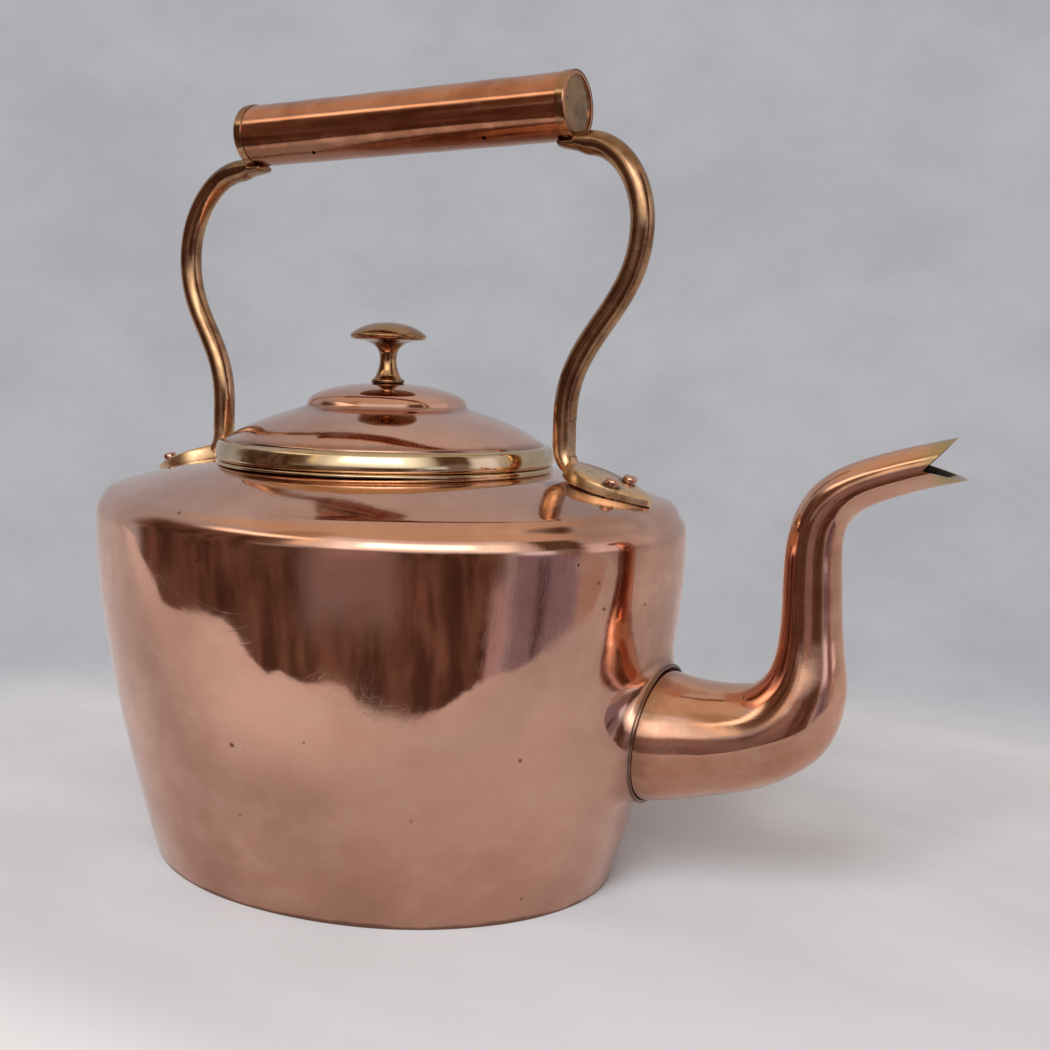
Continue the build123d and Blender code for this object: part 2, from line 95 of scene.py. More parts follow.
# %% Helpers for node networks
def plug(tree, socket, value):
    """Links another node's output to an input, or sets the input's own value."""
    if isinstance(value, bpy.types.NodeSocket):
        tree.links.new(value, socket)
    else:
        socket.default_value = value


def part(tree, kind, *values, out=0, inputs=(), **settings):
    """Adds a node; settings are its own, values and inputs are what goes into it."""
    made = tree.nodes.new("ShaderNode" + kind)
    for name, value in settings.items():
        setattr(made, name, value)
    for number, value in enumerate(values):
        plug(tree, made.inputs[number], value)
    for name, value in dict(inputs).items():
        plug(tree, made.inputs[name], value)
    return made.outputs[out]


def sums(tree, operation, first, second=0.0):
    """One step of arithmetic."""
    return part(tree, "Math", first, second, operation=operation)


def times(tree, first, second):
    """One number times another."""
    return sums(tree, "MULTIPLY", first, second)


def plus(tree, first, second):
    """One number and another added up."""
    return sums(tree, "ADD", first, second)


def ease(tree, value, low, high, start=0.0, end=1.0):
    """Goes smoothly from start to end while the value goes from low to high."""
    return part(
        tree, "MapRange", value, low, high, start, end, interpolation_type="SMOOTHSTEP")


def measure(tree, operation, *places):
    """A length or a distance, or how far a place lies along a direction."""
    return part(tree, "VectorMath", *places, out="Value", operation=operation)


def blend(tree, amount, first, second):
    """Mixes two colours."""
    return part(tree, "MixRGB", amount, first, second)


def grain(tree, place, scale, detail=3.0, roughness=0.5):
    """Cloudy noise from 0 to 1, as a number."""
    return part(tree, "TexNoise", inputs={
        "Vector": place, "Scale": scale, "Detail": detail, "Roughness": roughness})


def stretched(tree, place, scale, turned=(0, 0, 0)):
    """The place, turned and then scaled differently along each axis."""
    return part(tree, "Mapping", place, inputs={"Rotation": turned, "Scale": scale})


# %% [markdown]
# ## Light
# Polished metal has no look of its own: it shows what stands around it. So the light is
# set up as a room with parts that are worth reflecting: a broad window behind the viewer,
# a warm ceiling, a pale cool wall at the back and a dark room low down, beyond the edge of
# the cloth, with a few paler upright shapes in it. The camera itself sees a plain backdrop.

# %% Give each direction in the room a bearing and a height
scene.view_settings.view_transform = "Standard"
world = bpy.data.worlds.new("room")
world.use_nodes = True
room = world.node_tree
room.nodes.clear()
towards = part(room, "TexCoord", out="Generated")
from_viewer = part(
    room, "VectorRotate", towards, inputs={"Angle": radians(150)}, rotation_type="Z_AXIS")
sideways = part(room, "SeparateXYZ", from_viewer, out=0)
outward = part(room, "SeparateXYZ", from_viewer, out=1)
rise = part(room, "SeparateXYZ", towards, out=2)
bearing = times(room, sums(room, "ARCTAN2", sideways, outward), 180 / math.pi)
height = times(room, sums(room, "ARCSINE", rise), 180 / math.pi)
print("bearing 0 is behind the viewer and 90 on their left; height 0 is the horizon")


def inside(value, low, high, soft):
    """1 between two limits, falling softly to 0 outside them."""
    enter = ease(room, value, low - soft, low + soft)
    leave = ease(room, value, high - soft, high + soft, 1.0, 0.0)
    return times(room, enter, leave)


def paint(light, start, end, low, high, colour, soft, soft_up):
    """Paints a soft-edged patch on the room, by bearing and height in degrees."""
    amount = times(
        room, inside(bearing, start, end, soft), inside(height, low, high, soft_up))
    return blend(room, amount, light, colour)


# %% Paint the room
shapes = grain(room, stretched(room, towards, (5, 5, 1.2), (0, 0, 0.4)), 2.0, 5.0, 0.6)
dark_room = blend(
    room, ease(room, shapes, 0.40, 0.66), (0.070, 0.036, 0.026, 1), (0.175, 0.100, 0.075, 1))
cool_wall, ceiling = (0.42, 0.42, 0.445, 1), (0.54, 0.50, 0.46, 1)
# Each patch: bearings from and to, heights from and to, its colour, softness of its edges.
# A later patch covers an earlier one.
room_patches = (
    (-100, 125, 44, 100, (0.60, 0.48, 0.36, 1), 12, 8),     # warm ceiling
    (-110, -34, 8, 38, (0.62, 0.58, 0.56, 1), 8, 8),        # side wall, right
    (-64, -38, 10, 44, (0.12, 0.075, 0.045, 1), 4, 4),      # curtain beside the window
    (50, 112, 6, 30, (0.17, 0.105, 0.065, 1), 6, 6),        # dark corner, left
    (48, 68, 32, 56, (0.44, 0.34, 0.22, 1), 5, 5),          # the corner's paler top
    (31, 48, 12, 38, (1.25, 0.97, 0.60, 1), 4, 5),          # sunlit strip of wall
    (60, 106, -100, 24, dark_room, 4, 5),                   # dark room, left
    (-24, 106, -100, 4, dark_room, 3, 3),                   # dark room, behind
    (13, 43, -20, 5, (0.22, 0.165, 0.165, 1), 5, 5),        # somebody standing in it
    (18, 38, -7, 7, (0.30, 0.22, 0.21, 1), 5, 3),           # their paler upper half
    (-98, -56, -100, 4, (0.42, 0.32, 0.28, 1), 6, 3),       # wood, right
    (-57, -27, -100, 0, (0.24, 0.19, 0.25, 1), 3, 4),       # violet cloth
    (-26, -20, -100, -12, (0.42, 0.34, 0.38, 1), 1.5, 4),   # its pale hem
    (-42, -37, -100, -6, (0.10, 0.07, 0.08, 1), 1.5, 4),    # a dark upright
    (-60, -44, -4, 14, (0.25, 0.18, 0.18, 1), 3, 4),        # foot of the curtain
    (-84, -63, -2, 24, (0.95, 0.90, 1.00, 1), 4, 4),        # second window
    (-44, -30, 0, 10, (0.85, 0.90, 1.10, 1), 3, 3),         # sky over the cloth
    (-34, 44, 10, 46, (0.85, 0.83, 0.80, 1), 6, 4),         # window frame and its glow
    (-27, 36, 9, 35, (1.4, 1.4, 1.35, 1), 6, 5),            # window
    (-14, 27, 17, 33, (3.2, 3.2, 3.1, 1), 4, 4),            # sky in the window
    (48, 84, 30, 37, (1.9, 1.7, 1.35, 1), 10, 3),           # a bright rail
)
light = blend(room, ease(room, height, 28.0, 60.0), cool_wall, ceiling)
for patch in room_patches:
    light = paint(light, *patch)
print("patches painted", len(room_patches))

# %% Show the camera a plain backdrop
seen = part(room, "LightPath", out="Is Camera Ray")
# The backdrop's folds are painted shade: darker and paler streaks in its colour.
painted_fold_shade = grain(
    room, stretched(room, towards, (2.5, 2.5, 4.0), (0.6, 0.8, 0.3)), 3.0, 6.0, 0.62)
backdrop = blend(
    room, ease(room, painted_fold_shade, 0.32, 0.68), (0.40, 0.40, 0.425, 1), (0.455, 0.455, 0.485, 1))
shown = blend(room, seen, light, backdrop)
ground = part(room, "Background", shown, 1.0)
last = room.nodes.new("ShaderNodeOutputWorld")
room.links.new(ground, last.inputs["Surface"])
scene.world = world
print("room nodes", len(room.nodes))

# %% [markdown]
# ## Window lamp
# A lamp gives what a painted patch can't: soft shadows with a direction. It stands by the
# upper left corner of the painted window. The metal mirrors the painted window, which has
# softer edges, and not the lamp.

# %% Hang the lamp
# Its bearing is counted from +Y towards +X.
lamp_bearing, lamp_height, lamp_distance = radians(174), radians(36), 1.45
made_lamp = bpy.data.lights.new("window", "AREA")
made_lamp.shape = "RECTANGLE"
made_lamp.size, made_lamp.size_y = 0.56, 0.50
made_lamp.energy = 9.4
made_lamp.color = (0.92, 0.96, 1.0)
from_kettle = Vector((
    sin(lamp_bearing) * cos(lamp_height), cos(lamp_bearing) * cos(lamp_height),
    sin(lamp_height),
))
lamp = bpy.data.objects.new("window", made_lamp)
lamp.location = Vector((0.02, 0, 0.12)) + from_kettle * lamp_distance
lamp.rotation_mode = "QUATERNION"
lamp.rotation_quaternion = from_kettle.to_track_quat("Z", "Y")
lamp.visible_camera = lamp.visible_glossy = False
scene.collection.objects.link(lamp)
print("lamp at", [round(v, 2) for v in lamp.location])

# %% [markdown]
# ## Floor
# A pale cloth on a table. It ends a hand's breadth in front of the kettle in an uneven
# line, because the kettle's wall mirrors that edge. Its outline is drawn as a curve. The
# camera sees the far side of the cloth fade into the backdrop instead.

# %% Lay the floor
floor_half = 6.0
sheet = bmesh.new()
bmesh.ops.create_grid(sheet, x_segments=1, y_segments=1, size=floor_half)
floor_mesh = bpy.data.meshes.new("floor")
sheet.to_mesh(floor_mesh)
sheet.free()
floor = bpy.data.objects.new("floor", floor_mesh)
scene.collection.objects.link(floor)
print("floor", 2 * floor_half, "m across")

# %% Draw the cloth's edge in a material
cloth = bpy.data.materials.new("pale_cloth")
cloth.use_nodes = True
weave = cloth.node_tree
weave.nodes.clear()
spot = part(weave, "TexCoord", out="Object")
spot_x = part(weave, "SeparateXYZ", spot, out=0)
spot_y = part(weave, "SeparateXYZ", spot, out=1)
hem_edge = (
    (-1.0, -0.26), (-0.42, -0.24), (-0.34, -0.235), (-0.27, -0.285), (-0.19, -0.31),
    (-0.13, -0.272), (-0.06, -0.253), (0.02, -0.24), (0.055, -0.215), (0.085, -0.193),
    (0.13, -0.177), (0.208, -0.165), (0.30, -0.112), (0.423, -0.003), (0.9, 0.143), (1.0, 0.17),
)
across = part(weave, "MapRange", spot_x, -1.0, 1.0, 0.0, 1.0)
hem = part(weave, "FloatCurve", 1.0, across)
curve = hem.node.mapping
for number, (along, deep) in enumerate(hem_edge):
    if number < 2:
        curve.curves[0].points[number].location = ((along + 1) / 2, deep + 0.5)
    else:
        curve.curves[0].points.new((along + 1) / 2, deep + 0.5)
curve.update()
frayed = ease(weave, grain(weave, spot, 16.0, 3.0), 0.3, 0.7, -0.006, 0.006)
behind_hem = sums(weave, "SUBTRACT", plus(weave, spot_y, 0.5), hem)
inward = plus(weave, behind_hem, frayed)
on_table = ease(weave, inward, -0.003, 0.003)
print("points in the cloth's edge", len(hem_edge))

# %% Weave the cloth
reach = measure(weave, "DISTANCE", spot, (0.14, -0.22, 0))
near = ease(weave, reach, 0.47, 0.62, 1.0, 0.0)
watched = part(weave, "LightPath", out="Is Camera Ray")
solid = part(weave, "MixRGB", watched, on_table, near)
thread = grain(weave, spot, 260.0, 3.0)
creases = grain(weave, stretched(weave, spot, (3.0, 7.0, 1.0), (0, 0, 0.5)), 2.0, 4.0)
# Along the creases the cloth is painted darker and paler, as painted shade; the creases also
# raise a real bump below.
linen = blend(
    weave, ease(weave, creases, 0.35, 0.65), (0.60, 0.605, 0.64, 1), (0.655, 0.66, 0.70, 1))
lit_front = ease(weave, spot_y, -0.20, -0.12, 0.95, 0.0)
linen = blend(weave, lit_front, linen, (0.84, 0.84, 0.86, 1))
bumps = plus(weave, times(weave, thread, 0.06), creases)
raised = part(weave, "Bump", inputs={"Strength": 0.25, "Distance": 0.004, "Height": bumps})
fabric = part(weave, "BsdfDiffuse", linen, 0.6, raised)
clear = part(weave, "BsdfTransparent")
laid = part(weave, "MixShader", solid, clear, fabric)
last = weave.nodes.new("ShaderNodeOutputMaterial")
weave.links.new(laid, last.inputs["Surface"])
floor_mesh.materials.append(cloth)
print("nodes in the cloth", len(weave.nodes))

# %% [markdown]
# ## Metal finishes
# Old polished copper is never one colour. It is pink where it was rubbed last, browner in
# the hollows, with dull clouds, hair-fine scratches and a few dark pits. `metal` builds all
# of that from Object coordinates, so the pattern stays on the piece from every side.


# %% The recipe for a worked metal
# How much finer the rubbing marks are along each axis, and how they lean.
rubbing = {
    "across": ((18, 18, 900), (0.5, 0.2, 0.3)),
    "along": ((14, 520, 520), (0, 0, 0)),
    "upward": ((600, 600, 22), (0, 0, 0)),
}
upwards = (0, 0, 1)


def ragged(tree, distance, patches, by):
    """A distance that is a little longer or shorter from place to place."""
    return plus(tree, distance, ease(tree, patches, 0.3, 0.7, -by, by))


def metal(name, dark, middle, light, shine=(0.07, 0.16), cloud=16.0, rubbed="across",
          pitted=0.25, uneven=0.00012, stain_and_shade_spots=(), stain_and_shade_bands=(), bare=None,
          stain_and_shade_colour=(0.16, 0.08, 0.05, 1)):
    """A metal with clouds, rubbing marks, pits and stains; shine is its roughness range.

    A stain is round: centre, inner and outer reach, strength. A band lies along a plane:
    the way the plane faces, its distance from the origin, inner and outer reach, strength.
    Some stains and bands are tarnish, and some are painted shade.
    Bare, coarser metal lies behind a plane: the way the plane faces, where the bare metal
    starts to end, where it has ended, its colour.
    """
    made = bpy.data.materials.new(name)
    made.use_nodes = True
    tree = made.node_tree
    tree.nodes.clear()
    place = part(tree, "TexCoord", out="Object")
    clouds = grain(tree, place, cloud, 4.0, 0.6)
    patches = grain(
        tree, stretched(tree, place, (1, 1, 1.6), (0.4, 0.3, 1.1)), cloud * 3.1, 5.0, 0.65)
    flecks = grain(tree, place, 420.0, 2.0)

    # The clouds of colour.
    worn = ease(tree, clouds, 0.34, 0.62, 0.25, 1.0)
    colour = blend(tree, worn, dark, middle)
    colour = blend(tree, ease(tree, patches, 0.48, 0.75, 0.0, 0.36), colour, light)

    # Fine marks of the polishing cloth, or of the lathe.
    if rubbed == "around":
        flat = part(tree, "VectorMath", place, (1, 1, 0), operation="MULTIPLY")
        distance = measure(tree, "LENGTH", flat)
        level = part(tree, "SeparateXYZ", place, out=2)
        lines = part(tree, "CombineXYZ", distance, 0.0, level)
        fine = grain(tree, stretched(tree, lines, (900, 1, 900)), 1.0, 4.0, 0.7)
    else:
        finer, leaning = rubbing[rubbed]
        fine = grain(tree, stretched(tree, place, finer, leaning), 1.0, 4.0, 0.7)

    # Hair-fine scratches in three directions, and small pits in some places.
    strokes = []
    for number, angle in enumerate((0.35, 1.25, 2.2)):
        drawn = stretched(tree, place, (6, 340, 6 + 30 * number), (angle, 0.3 * number, angle))
        line = grain(tree, drawn, 1.3, 1.0, 0.4)
        off = sums(tree, "ABSOLUTE", sums(tree, "SUBTRACT", line, 0.5))
        strokes.append(ease(tree, off, 0.0015, 0.007, 1.0, 0.0))
    hairs = sums(tree, "MAXIMUM", strokes[0], sums(tree, "MAXIMUM", strokes[1], strokes[2]))
    hairs = times(tree, hairs, ease(tree, patches, 0.36, 0.62))
    cells = part(tree, "TexVoronoi", inputs={"Vector": place, "Scale": 95.0, "Randomness": 1.0})
    pit = ease(tree, cells, 0.035, 0.075, 1.0, 0.0)
    sparse = ease(tree, grain(tree, place, 31.0, 2.0), 0.66 - pitted * 0.4, 0.74 - pitted * 0.4)
    pit = times(tree, pit, sparse)
    colour = blend(tree, times(tree, hairs, 0.12), colour, light)
    colour = blend(tree, times(tree, ease(tree, flecks, 0.55, 0.8), 0.16), colour, dark)
    if bare:
        facing_way, start, end, tone = bare
        along = measure(tree, "DOT_PRODUCT", place, facing_way)
        amount = ease(tree, ragged(tree, along, patches, 0.35 * (end - start)), start, end, 1, 0)
        mottled = times(tree, amount, ease(tree, clouds, 0.34, 0.60, 0.30, 1.0))
        colour = blend(tree, mottled, colour, tone)

    # Stains and bands of tarnish, some of them painted shade, and the pits, which are as dark.
    stain_and_shade_mask = times(tree, pit, 0.75)
    for centre, inner, outer, strength in stain_and_shade_spots:
        gap = measure(tree, "DISTANCE", place, centre)
        edge = ragged(tree, gap, patches, 0.25 * outer)
        stain_and_shade_mask = sums(tree, "MAXIMUM", stain_and_shade_mask, ease(tree, edge, inner, outer, strength, 0))
    for facing_way, offset, inner, outer, strength in stain_and_shade_bands:
        along = measure(tree, "DOT_PRODUCT", place, facing_way)
        gap = sums(tree, "ABSOLUTE", sums(tree, "SUBTRACT", along, offset))
        edge = ragged(tree, gap, patches, 0.3 * outer)
        stain_and_shade_mask = sums(tree, "MAXIMUM", stain_and_shade_mask, ease(tree, edge, inner, outer, strength, 0))
    colour = blend(tree, stain_and_shade_mask, colour, stain_and_shade_colour)

    # How dull the metal is, and how uneven.
    dull = plus(tree, ease(tree, patches, 0.38, 0.75, *shine), times(tree, fine, 0.035))
    marked = plus(tree, times(tree, hairs, 0.3), stain_and_shade_mask)
    dull = plus(tree, dull, times(tree, marked, 0.14))
    if bare:
        dull = plus(tree, dull, times(tree, amount, 0.14))
    waves = times(tree, grain(tree, place, 34.0, 2.0), uneven)
    small = times(tree, grain(tree, place, 150.0, 3.0), uneven * 0.10)
    lined = times(tree, fine, 0.0000018)
    relief = plus(tree, waves, plus(tree, small, lined))
    relief = sums(tree, "SUBTRACT", relief, times(tree, pit, 0.00005))
    relief = sums(tree, "SUBTRACT", relief, times(tree, hairs, 0.000003))
    raised = part(tree, "Bump", inputs={"Strength": 1.0, "Distance": 1.0, "Height": relief})
    skin = part(tree, "BsdfPrincipled", inputs={
        "Base Color": colour, "Metallic": 1.0, "Roughness": dull, "Normal": raised})
    last = tree.nodes.new("ShaderNodeOutputMaterial")
    tree.links.new(skin, last.inputs["Surface"])
    return made


# %% [markdown]
# ## Helpers for shapes
# Nearly everything here is either turned (a line spun about an axis) or forged (a row of
# rings, one behind the other). `bend` draws one smooth stretch of such a line from its two
# ends and the two points that pull it, as a draughtsman's curve does, and `drawn` puts
# corners and bends in a row. `finished` makes a shape an object of its own.


# %% Helpers for lines
def bend(start, pull, second_pull, end, pieces):
    """Points on one smooth curve, both ends included."""
    corners = [Vector((*point, 0)) for point in (start, pull, second_pull, end)]
    line = interpolate_bezier(*corners, pieces + 1)
    return [(p.x, p.y) for p in line]


def drawn(*steps):
    """A line through corners, (x, y), and bends, (pull, second pull, end, pieces)."""
    line = []
    for step in steps:
        line += [step] if len(step) == 2 else bend(line[-1], *step)[1:]
    return line


def with_directions(points):
    """Each point of a line with the way the line runs there."""
    pairs = []
    for number, point in enumerate(points):
        before = points[max(0, number - 1)]
        after = points[min(len(points) - 1, number + 1)]
        pairs.append((point, (after[0] - before[0], after[1] - before[1])))
    return pairs


def turned(line, steps=96, place=Matrix.Identity(4)):
    """A (radius, height) line in mm, spun about the upright axis and then set in place."""
    shape = bmesh.new()
    points = [shape.verts.new((radius * mm, 0, level * mm)) for radius, level in line]
    edges = [shape.edges.new(pair) for pair in zip(points, points[1:])]
    bmesh.ops.spin(shape, geom=points + edges, cent=(0, 0, 0), axis=(0, 0, 1),
                   angle=2 * math.pi, steps=steps, use_merge=True)
    bmesh.ops.remove_doubles(shape, verts=shape.verts, dist=0.000002)
    bmesh.ops.recalc_face_normals(shape, faces=shape.faces)
    shape.transform(place)
    return shape


# %% Helpers for forgings
def across_path(point, direction):
    """A placement whose Z runs along a path in the handle's plane and whose X is across it."""
    forward = Vector((direction[0], 0, direction[1])).normalized()
    side = Vector((0, 1, 0))
    axes = Matrix((side, forward.cross(side), forward)).transposed().to_4x4()
    return Matrix.Translation(Vector((point[0], 0, point[1])) * mm) @ axes


def ring_in(shape, place, half_across, half_thick, segments):
    """One oval ring of a forging, half sizes in mm."""
    size = Matrix.Diagonal((half_across * mm, half_thick * mm, 1, 1))
    made = bmesh.ops.create_circle(shape, segments=segments, radius=1, matrix=place @ size)
    ring = made["verts"]
    mine = set(ring)
    return ring, list({e for v in ring for e in v.link_edges if e.other_vert(v) in mine})


def skin_over(shape, loops):
    """Joins each ring to the next."""
    for first, second in zip(loops, loops[1:]):
        bmesh.ops.bridge_loops(shape, edges=first + second)


# %% Helpers for smoothing and joining
def smoothed(piece, levels):
    """Adds the same subdivision for the screen and for the render."""
    modifier = piece.modifiers.new("smooth", "SUBSURF")
    modifier.levels = modifier.render_levels = levels


def thickened(piece, sheet):
    """Thickens a piece inwards, with its second material on the inside."""
    modifier = piece.modifiers.new("sheet", "SOLIDIFY")
    modifier.thickness, modifier.offset, modifier.material_offset = sheet * mm, -1, 1


def as_worked(piece):
    """The mesh of a piece after its modifiers, as a new mesh."""
    ready = piece.evaluated_get(bpy.context.evaluated_depsgraph_get())
    return bpy.data.meshes.new_from_object(ready)


def join(first, second):
    """Adds the second shape to the first."""
    mesh = bpy.data.meshes.new("blank")
    second.to_mesh(mesh)
    second.free()
    first.from_mesh(mesh)
    bpy.data.meshes.remove(mesh)


def rounded(shape, levels, sheet=0.0):
    """The same shape subdivided and smoothed, and thickened inwards, as a new bmesh."""
    mesh = bpy.data.meshes.new("blank")
    shape.to_mesh(mesh)
    shape.free()
    mesh.materials.append(None)
    mesh.materials.append(None)
    blank = bpy.data.objects.new("blank", mesh)
    scene.collection.objects.link(blank)
    smoothed(blank, levels)
    if sheet:
        thickened(blank, sheet)
    worked = as_worked(blank)
    result = bmesh.new()
    result.from_mesh(worked)
    bpy.data.objects.remove(blank)
    bpy.data.meshes.remove(mesh)
    bpy.data.meshes.remove(worked)
    return result


# %% Helpers for finished pieces
def finished(name, shape, body, slot, material, *nodes, crisp=32, away_from=None):
    """Makes the piece an object, gives it its finish and says what it rides and replaces.

    The faces of an open sheet are turned away from a place inside it, if one is given.
    """
    if away_from is not None:
        inner = Vector(away_from)
        face = max(shape.faces, key=lambda f: (f.calc_center_median() - inner).length)
        if face.normal.dot(face.calc_center_median() - inner) < 0:
            bmesh.ops.reverse_faces(shape, faces=shape.faces)
    for face in shape.faces:
        face.smooth = True
    mesh = bpy.data.meshes.new(name)
    shape.to_mesh(mesh)
    shape.free()
    mesh.materials.append(material)
    mesh.set_sharp_from_angle(angle=radians(crisp))
    piece = bpy.data.objects.new(name, mesh)
    scene.collection.objects.link(piece)
    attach(piece, body)
    if nodes:
        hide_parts(*nodes)
    print(name, len(mesh.polygons), "faces")
    return piece


def cut(piece, tool):
    """Cuts a tool's shape out of a finished piece."""
    mesh = bpy.data.meshes.new("tool")
    tool.to_mesh(mesh)
    tool.free()
    cutter = bpy.data.objects.new("tool", mesh)
    scene.collection.objects.link(cutter)
    cutting = piece.modifiers.new("cut", "BOOLEAN")
    cutting.object, cutting.operation, cutting.solver = cutter, "DIFFERENCE", "EXACT"
    worked = as_worked(piece)
    piece.modifiers.clear()
    blank, piece.data = piece.data, worked
    bpy.data.objects.remove(cutter)
    bpy.data.meshes.remove(mesh)
    bpy.data.meshes.remove(blank)
    worked.set_sharp_from_angle(angle=radians(40))
    print(piece.name, "cut,", len(worked.polygons), "faces")

# %% [markdown]
# ## Body
# A coppersmith raises the body from sheet: oval at the foot and the belly, round at the
# mouth, with a rounded edge where the wall turns into the shoulder. The skin is drawn out
# around the spout in a soft flare. Here a round body is spun first, each row is then
# squeezed to its oval, and a round collar is bridged into a hole cut for the spout.

# %% Sizes of the body
belly_height, corner_start, mouth_level = 118.0, 124.0, 144.0
corner_radius, corner_turn = 9.5, 75.0
spout_level, collar_radius, flare = 60.2, 22.4, 13.0
seam_forward, seam_tilt = 110.4, 0.115
hole_half, hole_turn = 38.4, radians(27)
belly_length, belly_width = 112.5, 90.0
shorter_foot, narrower_foot = 23.0, 18.0
mouth_radius = 58.0
body_sheet = 1.2
front_lift, rear_lift = 2.4, 1.35
print("body", 2 * belly_length, "mm long and", 2 * belly_width, "mm wide")


# %% Helpers for the body's rows
def wall_halves(level):
    """Half length and half width of the wall at a height below the belly, in mm."""
    fall = (1 - min(level, belly_height) / belly_height) ** 1.6
    return belly_length - shorter_foot * fall, belly_width - narrower_foot * fall


def body_rows():
    """(half length, half width, height) of each row, from the foot to the mouth."""
    levels = [0.0, 0.8, 3.0, 7.5, 14.0]
    levels += [spout_level + hole_half * (step / 4 - 1) for step in range(9)]
    levels += [105.0, 111.0, 115.0, belly_height]
    rows = [(*wall_halves(level), level) for level in levels]
    rows += [(belly_length, belly_width, level) for level in (121.0, corner_start)]
    for step in range(1, 8):
        angle = radians(corner_turn * step / 7)
        back = corner_radius * (1 - cos(angle))
        level = corner_start + corner_radius * sin(angle)
        rows.append((belly_length - back, belly_width - back, level))
    edge_length, edge_width, edge_level = rows[-1]
    rise = mouth_level - edge_level
    start_rate = tan(radians(90 - corner_turn)) * (edge_length - mouth_radius) / rise
    for step in range(1, 9):
        share = step / 8
        level = edge_level + rise * (start_rate * share - (start_rate - 1) * share ** 2)
        rows.append((
            edge_length + (mouth_radius - edge_length) * share,
            edge_width + (mouth_radius - edge_width) * share, level))
    return rows + [(56.6, 56.6, mouth_level - 0.03), (56.05, 56.05, mouth_level - 0.4)]


# %% Spin the body, squeeze it oval and cut the hole for the spout
rows = body_rows()
body = turned([(length, level) for length, width, level in rows], steps=64)


def in_hole(place):
    """Whether a place on the wall lies in the hole for the spout."""
    beside = abs(math.atan2(place.y, place.x)) < hole_turn
    return beside and abs(place.z / mm - spout_level) < hole_half


opening = [face for face in body.faces if in_hole(face.calc_center_median())]
bmesh.ops.delete(body, geom=opening, context="FACES")
for length, width, level in rows:
    row = [v for v in body.verts if abs(v.co.z / mm - level) < 0.01]
    bmesh.ops.scale(body, vec=(1, width / length, 1), verts=row)
hole = [
    e for e in body.edges
    if e.is_boundary and all(20 < v.co.z / mm < 100 for v in e.verts)
]
print("faces cut out", len(opening), "edges of the hole", len(hole))


def skin_at(across, level):
    """How far the wall reaches towards the spout, at a place beside it and a height."""
    half_length, half_width = wall_halves(level)
    return half_length * sqrt(max(0.0, 1 - (across / half_width) ** 2))


def seam_at(level):
    """The tilted seam where the spout is brazed on."""
    return seam_forward + (level - spout_level) * seam_tilt


# %% Draw the skin out into a collar
towards_spout = Matrix(((0, 0, 1, 0), (1, 0, 0, 0), (0, 1, 0, 0), (0, 0, 0, 1)))
at_spout = Matrix.Translation((0, 0, spout_level * mm)) @ towards_spout
# Each ring of the flare: its radius, how square it still is, like the hole, and how proud
# of the seam its edge stands.
loops = [hole]
for reach_out, square, proud in (
    (36.8, 0.55, None), (33.8, 0.2, None), (30.8, 0, None), (28.0, 0, None), (25.8, 0, None),
    (24.4, 0, None), (23.5, 0, None), (23.0, 0, None), (22.85, 0, 0.3), (22.7, 0, 0.42),
    (22.5, 0, 0.3), (22.4, 0, -0.5),
):
    ring, edges = ring_in(body, at_spout, reach_out, reach_out, 48)
    for vert in ring:
        across, level = vert.co.y / mm, vert.co.z / mm - spout_level
        squareness = 1 / max(abs(across), abs(level)) * math.hypot(across, level) - 1
        stretch = 1 + square * squareness
        across, level = across * stretch, level * stretch + spout_level
        out = math.hypot(across, level - spout_level)
        lean = min(1.0, max(0.0, (collar_radius + flare - out) / (flare - 0.6)))
        skin = skin_at(across, level)
        forward = skin + (1 - sqrt(1 - lean ** 2)) * (seam_at(level) - skin)
        if proud is not None:
            forward = seam_at(level) + proud
        vert.co = Vector((forward, across, level)) * mm
    loops.append(edges)
skin_over(body, loops)
# Hammering has left the wall uneven, and the handle has drawn the shoulder up at its feet.
for vert in body.verts:
    push = noise.noise(vert.co * 24) * 0.30
    push += noise.noise(vert.co * 60 + Vector((3, 1, 2))) * 0.07
    near_mouth = min(1.0, max(0.0, (143 - vert.co.z / mm) / 12))
    vert.co += Vector((vert.co.x, vert.co.y, 0)).normalized() * push * near_mouth * mm
    away = math.hypot(vert.co.x, vert.co.y) / mm
    under_foot = min(1.0, max(0.0, (away - 60) / 14)) * min(1.0, max(0.0, (111 - away) / 7))
    if vert.co.z > 131 * mm:
        lift = front_lift if vert.co.x > 0 else rear_lift
        vert.co.z += lift * under_foot * (vert.co.x / mm / max(away, 1.0)) ** 2 * mm
bmesh.ops.recalc_face_normals(body, faces=body.faces)
print("body", len(body.faces), "faces, before smoothing")

# %% [markdown]
# The body's copper is pinkish with browner clouds, and browner again towards the foot,
# with a thin painted contact shadow along its very edge. Tarnish sits round the rivets and
# along the spout's seam, and painted shade darkens the shoulder in front of the front leaf.
# The inside is tinned, as the inside of every copper kettle is.

# %% Finish the body
copper_dark = (0.63, 0.33, 0.235, 1)
copper_main = (0.875, 0.515, 0.385, 1)
copper_pink = (0.92, 0.63, 0.50, 1)
seam_faces = Vector((1, 0, -seam_tilt)).normalized()
seam_away = seam_at(0) * seam_faces.x * mm
seam_marks = [
    (seam_faces, seam_away, 0.0003, 0.0007, 0.85), (seam_faces, seam_away, 0.001, 0.007, 0.40)]
# At the foot: a thin painted contact shadow along the very edge, and the copper browner towards
# the foot.
shadow_line_and_browner_foot = [(upwards, 0.0, 0.0006, 0.0022, 0.75), (upwards, 0.0, 0.0, 0.042, 0.24)]
round_rivets = [
    ((along, across, level), 0.006, 0.016, 0.40)
    for along, level in ((0.0920, 0.1412), (-0.0966, 0.1401)) for across in (-0.0058, 0.0058)]
